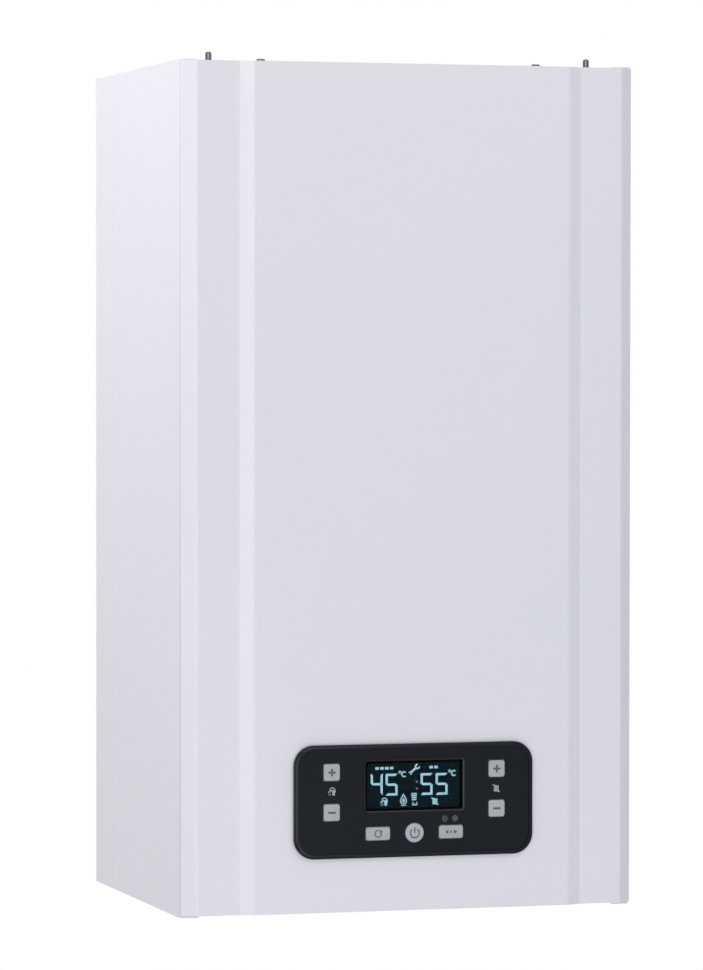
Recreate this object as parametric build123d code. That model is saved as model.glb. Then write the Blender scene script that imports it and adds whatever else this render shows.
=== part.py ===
from build123d import *
import os
from math import cos, radians, sin

os.makedirs("parts", exist_ok=True)

# A wall-hung gas combi boiler in a folded sheet-metal case. Sizes are in millimetres.
# The origin is midway between the two hanging holes, on the wall plane: +X is the right
# as seen from the front, +Y goes into the wall, +Z is up, so depths from the wall are -Y.

# ---------------------------------------------------------------- driving dimensions
# Case
case_width = 410.0
case_height = 740.0
case_depth = 328.0
hang_drop = 50.0
hang_spacing = 300.0
hang_hole = 10.0
low_hole = 8.0
low_hole_rise = 50.0
sheet = 1.0
heavy_sheet = 1.2
sheet_bend = 2.5
rear_band = 66.5
rear_lap = 17.5
seam = 0.4
bead_depth = 6.0
bead_width = 30.0
bead_place = 70.0
bead_margin = 40.0
flange = 15.0

# Front cover
panel_rise = 5.0
band_width = 50.0
panel_slope = 12.0
panel_bend = 4.0
corner_lead = 1.6
corner_slope = 11.3
corner_bend = 1.6
cover_side = 10.8
cover_drop = 1.5
cover_lift = 2.5
return_width = 16.0
tongue_depth = 50.0
cover_rest_gap = 0.3
slide_gap = 1.5

# Cover fixings on the top
pin_inset = 32.0
pin_setback = 43.0
pin_size = 5.5
pin_proud = 8.0
screw_inset = 79.0
screw_size = 4.0
screw_reach = 12.0
screw_head = 8.0
screw_head_height = 3.4
washer_size = 10.0
washer_thickness = 0.8
hole_gap = 0.5

# Control panel
bezel_width = 217.0
bezel_height = 98.7
bezel_rise = 98.85
bezel_corner = 18.0
bezel_proud = 5.0
bezel_rim = 3.5
bezel_dip = 0.9
bezel_field = 2.4
bezel_overlap = 6.0
skirt_wall = 2.0
skirt_depth = 15.0
fit_gap = 0.3
window_width = 88.5
window_height = 43.5
window_up = 12.85
window_sink = 0.8
window_dip = 1.6
window_edge = 2.0
button_column = 75.1
plus_up = 25.85
minus_down = 9.0
square_button = 15.2
row_down = 28.4
row_reach = 33.25
wide_button = 22.5
wide_button_height = 12.0
power_button = 17.3
button_proud = 1.3
button_lip = 1.2
button_lip_thickness = 1.0
button_travel = 0.8
mat_thickness = 1.0
board_thickness = 1.6
housing_depth = 20.0
housing_wall = 2.0

# Chassis and expansion vessel
rail_inset = 26.0
rail_flange = 22.0
vessel_side_gap = 18.0
vessel_depth = 89.5
vessel_drop = 225.0
vessel_round = 30.0
vessel_wall = 1.2
vessel_seam = 3.0
strap_width = 34.0
strap_thickness = 1.5
vessel_pipe_size = 10.0

# Sealed chamber, from its back wall forward
chamber_side_gap = 9.0
chamber_top_gap = 8.0
chamber_setback = 36.5
chamber_lip = 12.0
seal_thickness = 2.0
lid_press = 1.2
box_screw = 3.5
box_screw_head = 7.0
box_screw_head_height = 1.4
box_screw_length = 8.0

# Burner, firebox, heat exchanger, hood and fan
firebox_half = 125.0
manifold_room = 25.0
firebox_rise = 12.0
burner_height = 45.0
insulation = 12.0
blade_count = 10
blade_pitch = 22.0
blade_width = 14.0
manifold_size = 16.0
electrode_reach = 60.0
electrode_sleeve = 22.0
electrode_margin = 10.0
exchanger_height = 65.0
fin_count = 24
fin_thickness = 0.8
tube_count = 5
tube_margin = 19.0
tube_width = 8.0
tube_height = 20.0
header_width = 23.0
heating_pipe = 18.0
pipe_wall = 1.0
hood_height = 35.0
neck_width = 90.0
neck_gap = 4.0
volute_radius = 60.0
spigot_size = 60.0
spigot_wall = 1.2
spigot_proud = 5.0
fan_headroom = 8.0
fan_foot = 6.0
air_opening = 100.0
impeller_size = 96.0
impeller_width = 40.0
fan_blades = 18
fan_motor_size = 64.0
fan_shaft = 6.0
switch_size = 60.0
switch_drop = 50.0
inlet_size = 66.0
running_gap = 0.1

# Pipe stubs and water parts
plate_recess = 25.0
water_bay = 303.8
stub_pitch = 65.0
stub_setback = 160.0
stub_drop = 13.0
stub_thread = 20.0
stub_shoulder = 1.6
large_stub = 26.4
small_stub = 21.0
large_bore = 20.0
small_bore = 15.0
collar_size = 38.0
collar_height = 8.0
locknut_height = 8.0
exchanger_rise = 65.0
port_spread = 40.0
plate_stack = 43.0
plate_pairs = 6
plate_edge = 18.0
plate_side = 20.0
gallery = 22.0
gallery_set = 2.0
diverter_size = 44.0
diverter_length = 78.0
diverter_bore = 30.0
diverter_motor = 46.0
diverter_motor_length = 44.0
diverter_end_wall = 12.0
spindle_size = 5.0
spindle_travel = 6.0
pump_rise = 110.0
volute_size = 96.0
volute_width = 45.0
pump_motor_size = 88.0
pump_motor_length = 92.0
pump_cavity = 72.0
pump_rotor = 58.0
pump_shaft = 8.0
vent_size = 32.0
vent_height = 50.0
turbine_size = 30.0
turbine_bore = 20.0
tap_handle = 20.0
tap_stem = 14.0
relief_size = 26.0
relief_knob = 30.0
relief_length = 36.0
relief_set = 20.0
relief_socket = 10.0
sensor_reach = 17.0

# Gas train and electrics
gas_pipe = 14.0
gas_riser = 18.0
valve_height = 90.0
valve_width = 64.0
valve_depth = 70.0
coil_size = 34.0
coil_length = 30.0
control_box_depth = 50.0
control_box_side_gap = 18.0
control_box_valve_gap = 14.0
control_box_clearance = 45.8
control_box_setback = 14.0
control_box_cable_margin = 50.0
gland_size = 22.0
gland_inset = 39.0
gland_setback = 235.0

# ---------------------------------------------------------------- shared places
half = case_width / 2
top = hang_drop
bottom = hang_drop - case_height
inside = half - sheet

band_face = -(case_depth - panel_rise)
panel_face = -case_depth
seam_face = band_face + cover_side
side_front = seam_face + seam
cover_top = top - cover_drop
cover_bottom = bottom + cover_lift
top_plate_face = cover_top - sheet - cover_rest_gap
tongue_back = panel_face + tongue_depth
top_front = side_front + flange / 2
panel_half = half - band_width - panel_slope
pin_place = half - pin_inset
screw_place = half - screw_inset

rail_place = inside - rail_inset
vessel_size = 2 * (rail_place - vessel_side_gap)
vessel_back = -(sheet + bead_depth + 0.5)
rail_face = vessel_back - vessel_depth - strap_thickness - heavy_sheet
chamber_back = rail_face
chamber_front = seam_face + chamber_setback
chamber_top = top - chamber_top_gap
chamber_bottom = bottom + plate_recess + heavy_sheet + water_bay
chamber_height = chamber_top - chamber_bottom
chamber_half = inside - chamber_side_gap

firebox_back = chamber_back - sheet
firebox_front = chamber_front + manifold_room
firebox_depth = firebox_back - firebox_front
firebox_middle = (firebox_back + firebox_front) / 2
firebox_bottom = chamber_bottom + sheet + firebox_rise
fan_x = -(volute_radius - spigot_size / 2)
fan_z = chamber_top - fan_headroom - volute_radius
hood_top = fan_z - volute_radius - fan_foot
exchanger_top = hood_top - hood_height
firebox_top = exchanger_top - exchanger_height
tube_pitch = (firebox_depth - 2 * tube_margin) / (tube_count - 1)
nozzle_x = firebox_half + 2 * heavy_sheet + header_width / 2 + 1.5
nozzle_low = firebox_top - 12.0
fan_back = firebox_back - firebox_depth / 3
neck_depth = firebox_depth / 3 - neck_gap
fan_width = spigot_size + 4.0
fan_front = fan_back - fan_width
fan_motor_length = (fan_front - chamber_front) * 2 / 3
spigot_y = (fan_back + fan_front) / 2
spigot_top = top + spigot_proud
manifold_y = firebox_front - manifold_size / 2 - 3.0
manifold_z = firebox_bottom + burner_height / 2 - 4.0

floor_low = bottom + plate_recess
floor_top = floor_low + heavy_sheet
stub_y = -stub_setback
stub_low = bottom - stub_drop
port_middle = floor_top + exchanger_rise
port_high = port_middle + port_spread / 2
port_low = port_middle - port_spread / 2
plate_back = -60.0
plate_front = plate_back - plate_stack
flow_x = -2 * stub_pitch
return_x = 2 * stub_pitch
diverter_back = stub_y + diverter_length / 2 + 2.0
diverter_front = diverter_back - diverter_length
diverter_top = port_high + diverter_size / 2 + 14.0
pump_z = floor_top + pump_rise
volute_back = stub_y + volute_width / 2
volute_front = volute_back - volute_width
pump_y = volute_back - volute_width / 2
pump_top = pump_z + volute_size / 2 + 16.0
valve_low = floor_top + 0.56 * (water_bay - valve_height)
valve_high = valve_low + valve_height
valve_front = stub_y - valve_depth / 2
vent_x = return_x + 35.0
large_shank = large_stub + stub_shoulder
relief_place = (return_x + large_shank / 2 + inside) / 2
vent_low = pump_z + volute_size / 2

bezel_z = bottom + bezel_rise
bezel_front = panel_face - bezel_proud
field_front = bezel_front + bezel_dip
field_back = field_front + bezel_field
window_z = bezel_z + window_up
button_back = field_back + 0.3 + button_lip_thickness
mat_front = button_back + button_travel + 0.3
board_front = mat_front + mat_thickness
board_back = board_front + board_thickness
housing_back = board_back + housing_depth
skirt_half_width = bezel_width / 2 - bezel_overlap
skirt_half_height = bezel_height / 2 - bezel_overlap
skirt_corner = bezel_corner - bezel_overlap

button_places = {
    "plus_left_button": (-button_column, plus_up, square_button, square_button),
    "minus_left_button": (-button_column, -minus_down, square_button, square_button),
    "plus_right_button": (button_column, plus_up, square_button, square_button),
    "minus_right_button": (button_column, -minus_down, square_button, square_button),
    "reset_button": (-row_reach, -row_down, wide_button, wide_button_height),
    "mode_button": (row_reach, -row_down, wide_button, wide_button_height),
}


# ---------------------------------------------------------------- shapes used throughout
def block(x_span, y_span, z_span):
    """A box between pairs of limits."""
    spans = (x_span, y_span, z_span)
    middle = [sum(span) / 2 for span in spans]
    size = [abs(span[1] - span[0]) for span in spans]
    return Pos(*middle) * Box(*size)


def upright(x, y, low, high, size):
    """A round bar along Z."""
    return Pos(x, y, (low + high) / 2) * Cylinder(size / 2, high - low)


def along_y(x, z, back, front, size):
    """A round bar along Y, from its end nearer the wall to its front end."""
    return Pos(x, (back + front) / 2, z) * Rot(90, 0, 0) * Cylinder(size / 2, back - front)


def along_x(y, z, left, right, size):
    """A round bar along X."""
    return Pos((left + right) / 2, y, z) * Rot(0, 90, 0) * Cylinder(size / 2, right - left)


def hexagon(x, y, low, high, across, bore):
    """An upright hexagon nut."""
    body = extrude(RegularPolygon(across / 2, 6, major_radius=False), high - low)
    return Pos(x, y, low) * body - upright(x, y, low - 1, high + 1, bore)


def plate_at(outline, y_back, thickness):
    """A flat outline drawn as seen from the front, made a plate that grows forward."""
    return Pos(0, y_back, 0) * extrude(Plane.XZ * outline, thickness)


def rounded_at(x, z, width, height, corner):
    """A rounded rectangle as seen from the front, for plate_at."""
    return Pos(x, z) * RectangleRounded(width, height, corner)


def folded(points, bends, thickness, low, high):
    """Sheet metal folded along upright bends: its plan is a line of constant thickness."""
    plan = trace(FilletPolyline(*points, radius=bends), thickness)
    return Pos(0, 0, low) * extrude(plan, high - low)


def bent_pipe(points, bend, size, wall):
    """A round pipe along straight runs joined by bends."""
    path = FilletPolyline(*points, radius=bend)
    ring = Circle(size / 2) - Circle(size / 2 - wall)
    return sweep(Plane(origin=path @ 0, z_dir=path % 0) * ring, path=path)


def both_sides(shape):
    """The shape and its mirror image about the middle plane."""
    return shape + mirror(shape, about=Plane.YZ)


# ---------------------------------------------------------------- case
def make_back_frame():
    """Back plate with two pressed beads, and side flanges joggled behind the side panels."""
    face = half - sheet / 2
    lap = face - sheet
    side = [
        (lap, -(rear_band + rear_lap)),
        (lap, -(rear_band - sheet / 2)),
        (face, -(rear_band - 1.5 * sheet)),
        (face, -sheet / 2),
    ]
    points = side + [(-x, y) for x, y in reversed(side)]
    bends = [0, 0, sheet_bend, sheet_bend, 0, 0]
    frame = folded(points, bends, sheet, bottom, top)
    low, high = floor_top + bead_margin, top - bead_margin
    outline = Pos(bead_place, (low + high) / 2) * Rectangle(bead_width, high - low)
    bead = extrude(Plane.XZ * outline, bead_depth, taper=45 / 2)
    frame += both_sides(Pos(0, -sheet, 0) * bead)
    frame -= both_sides(bead)
    for x in (-hang_spacing / 2, hang_spacing / 2):
        frame -= along_y(x, 0, 1, -2 * sheet, hang_hole)
        frame -= along_y(x, bottom + low_hole_rise, 1, -2 * sheet, low_hole)
    return frame


def make_side_panel():
    """Right side panel: folded in at the front, with short flanges at top and bottom."""
    face = half - sheet / 2
    front = side_front + sheet / 2
    points = [(face, -rear_band), (face, front), (half - return_width, front)]
    panel = folded(points, sheet_bend, sheet, bottom, top)
    lap_end = -(rear_band + rear_lap + seam)
    strip = ((inside - flange, inside), (lap_end, side_front + flange))
    panel += block(*strip, (top - sheet, top))
    panel += block(*strip, (bottom, bottom + sheet))
    for y in side_screw_places():
        panel -= upright(side_screw_x, y, top - 2 * sheet, top + 1, box_screw)
    return panel


side_screw_x = inside - flange / 2


def side_screw_places():
    """Depths of the screws along each side panel's top flange."""
    back = -(rear_band + rear_lap + flange)
    front = side_front + 2 * flange
    return [back, (back + front) / 2, front]


def make_top_plate():
    """Pressed top plate: raised edge strips under the side panels, ears for the cover's pins."""
    middle = top_plate_face - sheet / 2
    strip = top - 1.5 * sheet
    step = half - return_width
    edge = inside - sheet - 0.2
    right = [(edge, strip), (step + 2, strip), (step, middle)]
    points = right + [(-x, z) for x, z in reversed(right)]
    section = trace(FilletPolyline(*points, radius=0), sheet)
    length = -sheet - top_front
    plate = Pos(0, -sheet, 0) * extrude(Plane.XZ * section, length)
    notch_half = screw_place - washer_size / 2 - 1
    plate -= block((-notch_half, notch_half), (top_front - 1, tongue_back), (0, top))
    side = block((edge - sheet, edge), (-sheet, top_front + flange), (strip - flange, strip))
    ear = (notch_half + 2, step - 2)
    ear_fold = block(ear, (top_front, top_front + sheet), (middle - flange, middle))
    plate += both_sides(side + ear_fold)
    rear = block((-edge, edge), (-sheet, -2 * sheet), (middle - flange, middle))
    plate += rear
    plate -= upright(0, spigot_y, 0, top, air_opening + 4)
    holes = [(pin_place, pin_line, pin_size + 2 * running_gap), (screw_place, pin_line, screw_size + hole_gap)]
    holes += [(side_screw_x, y, box_screw) for y in side_screw_places()]
    for x, y, size in holes:
        plate -= both_sides(upright(x, y, 0, top, size))
    plate -= rear_corners(edge)
    collar = upright(screw_place, pin_line, middle - 6, middle, screw_size + 4)
    collar -= upright(screw_place, pin_line, middle - 7, top, screw_size + hole_gap)
    return plate + both_sides(collar)


pin_line = panel_face + pin_setback


def rear_corners(edge):
    """Cutters that clear a plate's rear corners from the back frame's inner bends."""
    side = 2 * sheet_bend
    return both_sides(Pos(edge, -sheet, 0) * Rot(0, 0, 45) * Box(side, side, 4 * case_height))


def make_bottom_plate():
    """Recessed bottom plate with turned-down edges and a hole for each stub."""
    narrow = inside - sheet - 0.2
    wide = inside - 0.1
    lap_end = -(rear_band + rear_lap + 0.6)
    front = side_front + 5.0
    plate = block((-narrow, narrow), (-sheet, lap_end), (floor_low, floor_top))
    plate += block((-wide, wide), (lap_end, front), (floor_low, floor_top))
    fold = (floor_low - flange + 3, floor_top)
    side = block((wide - heavy_sheet, wide), (lap_end, front), fold)
    side += block((narrow - heavy_sheet, narrow), (-sheet, lap_end), fold)
    plate += both_sides(side)
    plate += block((-wide, wide), (front, front + heavy_sheet), fold)
    plate += block((-narrow, narrow), (-sheet, -sheet - heavy_sheet), fold)
    for x, size in stub_list():
        hole = size + stub_shoulder + 2 * hole_gap
        plate -= upright(x, stub_y, floor_low - 1, floor_top + 1, hole)
    plate -= upright(relief_place, stub_y + 8, floor_low - 1, floor_top + 1, 16)
    plate -= upright(tap_x, stub_y, floor_low - 1, floor_top + 1, 17)
    plate -= upright(*gland_place, floor_low - 1, floor_top + 1, gland_size - 6)
    return plate - rear_corners(narrow)


gland_place = (-(inside - gland_inset), -gland_setback)
tap_x = (stub_pitch + return_x) / 2


def stub_list():
    """Place and outside size of each pipe stub, from left to right."""
    return [
        (flow_x, large_stub),
        (-stub_pitch, small_stub),
        (0.0, large_stub),
        (stub_pitch, small_stub),
        (return_x, large_stub),
    ]


def make_casing_screws():
    """The identical small screws of the side panels and of the chamber lid."""
    screws = Part()
    for y in side_screw_places():
        screw = upright(side_screw_x, y, top, top + box_screw_head_height, box_screw_head)
        screw += upright(side_screw_x, y, top - box_screw_length, top, box_screw)
        screws += both_sides(screw)
    head_back = lid_face
    for x, z in lid_screw_places():
        head = along_y(x, z, head_back, head_back - box_screw_head_height, box_screw_head)
        screws += head + along_y(x, z, head_back + box_screw_length, head_back, box_screw)
    return screws


lid_face = chamber_front - seal_thickness - heavy_sheet


def lid_screw_places():
    """Screw places round the edge of the chamber lid."""
    x_edge = chamber_half - chamber_lip / 2
    low = chamber_bottom + chamber_lip / 2
    high = chamber_top - chamber_lip / 2
    middle = (low + high) / 2
    places = [(x, z) for x in (-x_edge, x_edge) for z in (low, middle, high)]
    return places + [(0, low), (0, high)]


def make_locating_pins():
    """Two riveted pins that stand up through the cover's top flange."""
    under = top_plate_face - sheet
    tip = top + pin_proud
    pin = upright(pin_place, pin_line, under - 2, tip, pin_size)
    pin = chamfer(pin.faces().sort_by(Axis.Z)[-1].edges(), 1.2)
    pin += upright(pin_place, pin_line, under - 3.5, under, pin_size + 4)
    return both_sides(pin)


# ---------------------------------------------------------------- front cover
def cover_points():
    """The cover's plan at the middle of its sheet, from the left seam to the right."""
    face = half - sheet / 2
    left = [
        (-face, seam_face - sheet / 2),
        (-face, seam_face - sheet / 2 - corner_lead),
        (-(face - corner_slope), band_face + sheet / 2),
        (-(panel_half + panel_slope), band_face + sheet / 2),
        (-panel_half, panel_face + sheet / 2),
    ]
    return left + [(-x, y) for x, y in reversed(left)]


def make_front_cover():
    """Folded cover with sloped corners and a raised middle, open for the bezel."""
    bends = [corner_bend] + [panel_bend] * 6 + [corner_bend]
    inner = half - return_width
    line = cover_points()
    ends = [(-inner, line[0][1])] + line + [(inner, line[0][1])]
    cover = folded(ends, [0] + bends + [0], sheet, cover_bottom, cover_top)
    outline = FilletPolyline(*line, radius=[0] + bends + [0], close=True)
    plan = make_face(outline)
    cover += Pos(0, 0, cover_top - sheet) * extrude(plan, sheet)
    cover += Pos(0, 0, cover_bottom) * extrude(plan, sheet)
    tongue_half = half - return_width - slide_gap
    tongue_span = (tongue_back, seam_face - sheet)
    cover += block((-tongue_half, tongue_half), tongue_span, (cover_top - sheet, cover_top))
    for x, size in ((pin_place, pin_size + 2 * hole_gap), (screw_place, screw_size + hole_gap)):
        cover -= both_sides(upright(x, pin_line, top - 10, top + 10, size))
    width = 2 * skirt_half_width + 2 * fit_gap
    height = 2 * skirt_half_height + 2 * fit_gap
    cutout = rounded_at(0, bezel_z, width, height, skirt_corner)
    return cover - plate_at(cutout, panel_face + 4, 8)


def make_cover_screws():
    """Two captive screws with washers that hold the cover's tongue to the top plate."""
    head_low = cover_top + washer_thickness
    tip = top_plate_face - screw_reach
    screw = upright(screw_place, pin_line, cover_top, head_low, washer_size)
    head = upright(screw_place, pin_line, head_low, head_low + screw_head_height, screw_head)
    head = chamfer(head.faces().sort_by(Axis.Z)[-1].edges(), 0.9)
    slot_span = (pin_line - screw_head, pin_line + screw_head)
    slot_low = head_low + screw_head_height - 1.4
    head -= block((screw_place - 0.5, screw_place + 0.5), slot_span, (slot_low, slot_low + 2))
    screw += head + upright(screw_place, pin_line, tip, cover_top, screw_size)
    return both_sides(screw)


# ---------------------------------------------------------------- control panel
def button_outlines(gap):
    """Every button's outline on the bezel's face, grown by a gap."""
    shapes = []
    for x, up, width, height in button_places.values():
        size = (width + 2 * gap, height + 2 * gap)
        shapes.append(rounded_at(x, bezel_z + up, *size, 1.6 + gap))
    shapes.append(Pos(0, bezel_z - row_down) * Circle(power_button / 2 + gap))
    return shapes


def make_bezel():
    """Moulded bezel: raised glossy rim, sunk field, window and button openings, skirt."""
    outline = rounded_at(0, bezel_z, bezel_width, bezel_height, bezel_corner)
    body = plate_at(outline, panel_face, bezel_proud)
    body = fillet(body.faces().sort_by(Axis.Y)[0].edges(), 1.6)
    inner_width = bezel_width - 2 * bezel_rim
    inner_height = bezel_height - 2 * bezel_rim
    field = rounded_at(0, bezel_z, inner_width, inner_height, bezel_corner - bezel_rim)
    body -= plate_at(field, field_front, bezel_dip + 1)
    skirt = (2 * skirt_half_width, 2 * skirt_half_height)
    pocket = (skirt[0] - 2 * skirt_wall, skirt[1] - 2 * skirt_wall)
    body += plate_at(rounded_at(0, bezel_z, *skirt, skirt_corner), panel_face + skirt_depth, skirt_depth)
    hollow = rounded_at(0, bezel_z, *pocket, skirt_corner - skirt_wall)
    body -= plate_at(hollow, panel_face + skirt_depth + 1, panel_face + skirt_depth + 1 - field_back)
    opening = rounded_at(0, window_z, window_width, window_height, 2.0)
    body -= plate_at(opening, field_front + window_dip, window_dip + 1)
    bevel = extrude(Plane.XZ * opening, window_sink + 1, taper=-45)
    body -= Pos(0, field_front + window_sink, 0) * bevel
    through = (window_width - 2 * window_edge, window_height - 2 * window_edge)
    body -= plate_at(rounded_at(0, window_z, *through, 1.0), panel_face + 4, 12)
    for shape in button_outlines(fit_gap):
        body -= plate_at(shape, panel_face + 4, 12)
    return body


def make_window():
    """Clear window seated in the bezel's sunk opening."""
    outline = (window_width - 2 * fit_gap, window_height - 2 * fit_gap)
    pane_thickness = window_dip - window_sink
    pane = plate_at(rounded_at(0, window_z, *outline, 1.8), field_front + window_dip, pane_thickness)
    through = [size - 2 * window_edge - 2 * fit_gap for size in (window_width, window_height)]
    depth = bezel_field - window_dip
    return pane + plate_at(rounded_at(0, window_z, *through, 0.8), field_back, depth)


def make_display():
    """Lit display module between the window and its board."""
    outline = rounded_at(0, window_z, window_width + 2, window_height + 2, 1.5)
    return plate_at(outline, board_front, board_front - field_back - 0.2)


def make_button(outline, lip):
    """A button cap with its retaining lip behind the bezel's face."""
    cap = plate_at(outline, field_back + 0.3, field_back + 0.3 - field_front + button_proud)
    cap = fillet(cap.faces().sort_by(Axis.Y)[0].edges(), 0.5)
    return cap + plate_at(lip, button_back, button_lip_thickness)


def make_buttons():
    """The seven buttons, each by its own name."""
    names = list(button_places) + ["power_button"]
    lips = button_outlines(button_lip)
    pairs = zip(names, zip(button_outlines(0), lips))
    return {name: make_button(outline, lip) for name, (outline, lip) in pairs}


def skirt_fit(inset):
    """Outline of what fits inside the bezel's skirt, made smaller by an inset."""
    shrink = skirt_wall + fit_gap + inset
    size = (2 * (skirt_half_width - shrink), 2 * (skirt_half_height - shrink))
    return rounded_at(0, bezel_z, *size, max(skirt_corner - shrink, 1.0))


def make_keypad():
    """Rubber mat with a raised dome behind every button, open behind the display."""
    mat = plate_at(skirt_fit(0), board_front, mat_thickness)
    gap = rounded_at(0, window_z, window_width + 3, window_height + 3, 2.0)
    mat -= plate_at(gap, board_front + 1, mat_thickness + 4)
    places = [(x, up) for x, up, _, _ in button_places.values()] + [(0, -row_down)]
    for x, up in places:
        mat += along_y(x, bezel_z + up, mat_front, button_back + button_travel + 0.05, 6)
    return mat


def make_board():
    """Display board behind the mat, with its connector."""
    board = plate_at(skirt_fit(0), board_back, board_thickness)
    socket = (board_back, board_back + 8)
    board += block((55, 80), socket, (bezel_z - 32, bezel_z - 24))
    chips = [(-60, 8), (-20, 12), (25, 10)]
    for x, size in chips:
        board += block((x, x + size), (board_back, board_back + 2), (bezel_z, bezel_z + size))
    return board


def make_housing():
    """Rear housing that clips into the skirt and holds the board."""
    tray = plate_at(skirt_fit(0), housing_back, housing_depth)
    tray -= plate_at(skirt_fit(housing_wall), housing_back - housing_wall, housing_depth)
    for index in range(8):
        x = -70 + 12 * index
        slot = (bezel_z - 12, bezel_z + 20)
        tray -= block((x, x + 4), (housing_back - 4, housing_back + 1), slot)
    low = bezel_z - skirt_half_height
    exit_span = (low, low + 8)
    return tray - block((56, 80), (board_back + 2, board_back + 10), exit_span)


# ---------------------------------------------------------------- chassis and vessel
def make_chassis():
    """Two channel rails welded to the back plate and the strap across the vessel."""
    back = -sheet - heavy_sheet / 2
    front = rail_face + heavy_sheet / 2
    web = rail_place + heavy_sheet / 2
    out = rail_place + rail_flange
    low = bottom + low_hole_rise
    rail = folded([(out, back), (web, back), (web, front), (out, front)],
                  sheet_bend, heavy_sheet, low, top - 2 * flange)
    strap_back = vessel_back - vessel_depth
    strap_span = (strap_back - strap_thickness, strap_back)
    strap_z = -vessel_drop + hang_drop
    tabs = (rail_place + heavy_sheet, out)
    rails = both_sides(rail)
    slot = block((rail_place - 1, tabs[0]), strap_span, (strap_z - strap_width / 2, strap_z + strap_width / 2))
    rails -= both_sides(slot)
    rails += block((-out, out), strap_span, (strap_z - strap_width / 2, strap_z + strap_width / 2))
    return rails


def make_vessel():
    """Round flat expansion vessel: two pressed halves with a rolled seam and a nipple."""
    radius = vessel_size / 2
    section = Rectangle(radius, vessel_depth, align=(Align.MIN, Align.CENTER))
    section = fillet(section.vertices().group_by(Axis.X)[-1], vessel_round)
    inner = Rectangle(radius - vessel_wall, vessel_depth - 2 * vessel_wall,
                      align=(Align.MIN, Align.CENTER))
    inner = fillet(inner.vertices().group_by(Axis.X)[-1], vessel_round - vessel_wall)
    roll = Pos(radius, 0) * Rectangle(2 * vessel_seam, 2 * vessel_seam)
    shell = revolve(section + roll, Axis.Y) - revolve(inner, Axis.Y)
    shell = Pos(0, vessel_y, vessel_z) * shell
    nipple_low = vessel_z - radius - 14
    shell += upright(0, vessel_y, nipple_low, vessel_z - radius + vessel_wall, 16)
    return shell - upright(0, vessel_y, nipple_low - 1, vessel_z - radius + 6, vessel_pipe_size)


vessel_y = vessel_back - vessel_depth / 2
vessel_z = hang_drop - vessel_drop


def make_vessel_pipe():
    """Pipe from the vessel's nipple to the back of the pump."""
    start = vessel_z - vessel_size / 2 - 14
    fall = start - pump_z
    points = [
        (0, vessel_y, start),
        (0, vessel_y, start - 0.25 * fall),
        (return_x, vessel_y, start - 0.45 * fall),
        (return_x, vessel_y, pump_z),
        (return_x, volute_back + 15, pump_z),
    ]
    return bent_pipe(points, 18, vessel_pipe_size, pipe_wall)


# ---------------------------------------------------------------- sealed chamber
def make_chamber_box():
    """Five-sided box, open at the front inside a folded lip."""
    spans = ((-chamber_half, chamber_half), (chamber_back, chamber_front))
    box = block(*spans, (chamber_bottom, chamber_top))
    inner_half = chamber_half - sheet
    box -= block((-inner_half, inner_half), (chamber_back - sheet, chamber_front + sheet),
                 (chamber_bottom + sheet, chamber_top - sheet))
    lip_half = chamber_half - chamber_lip
    box -= block((-lip_half, lip_half), (chamber_front + 2 * sheet, chamber_front - 1),
                 (chamber_bottom + chamber_lip, chamber_top - chamber_lip))
    box -= upright(0, spigot_y, chamber_top - 3, chamber_top + 1, air_opening)
    for x in (-nozzle_x, nozzle_x):
        box -= upright(x, firebox_middle, chamber_bottom - 1, chamber_bottom + 3, heating_pipe + 6)
    box -= upright(0, manifold_y, chamber_bottom - 1, chamber_bottom + 3, gas_pipe + 6)
    for x, z in lid_screw_places():
        box -= along_y(x, z, chamber_front + 3, chamber_front - 1, box_screw)
    return box


def lid_frame(grow):
    """The lid's opening inside its lip, grown by a margin."""
    width = 2 * (chamber_half - chamber_lip + grow)
    height = chamber_height - 2 * (chamber_lip - grow)
    return Pos(0, chamber_top - chamber_height / 2) * Rectangle(width, height)


def make_chamber_seals():
    """Foam frame under the lid, ring round the flue and grommets round the pipes."""
    frame = lid_frame(chamber_lip - 1) - lid_frame(1)
    seals = plate_at(frame, chamber_front, seal_thickness)
    for x, z in lid_screw_places():
        seals -= along_y(x, z, chamber_front + 1, lid_face - 1, box_screw)
    ring = upright(0, spigot_y, chamber_top, top_plate_face - sheet, air_opening + 14)
    seals += ring - upright(0, spigot_y, chamber_top - 1, top, air_opening)
    places = [(-nozzle_x, firebox_middle, heating_pipe), (nozzle_x, firebox_middle, heating_pipe)]
    places.append((0, manifold_y, gas_pipe))
    for x, y, size in places:
        low = chamber_bottom - 3
        grommet = upright(x, y, low, chamber_bottom, size + 12)
        grommet += upright(x, y, chamber_bottom, chamber_bottom + 4, size + 6 - 0.1)
        seals += grommet - upright(x, y, low - 1, chamber_bottom + 5, size + 0.1)
    return seals


def make_chamber_lid():
    """Lid with a pressed-out middle that stiffens it."""
    lid = plate_at(lid_frame(chamber_lip), chamber_front - seal_thickness, heavy_sheet)
    lid += plate_at(lid_frame(-20), lid_face, lid_press)
    lid -= plate_at(lid_frame(-20 - heavy_sheet), lid_face + heavy_sheet + 1, heavy_sheet + 1)
    for x, z in lid_screw_places():
        lid -= along_y(x, z, lid_face + 3, lid_face - 1, box_screw)
    return lid


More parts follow.
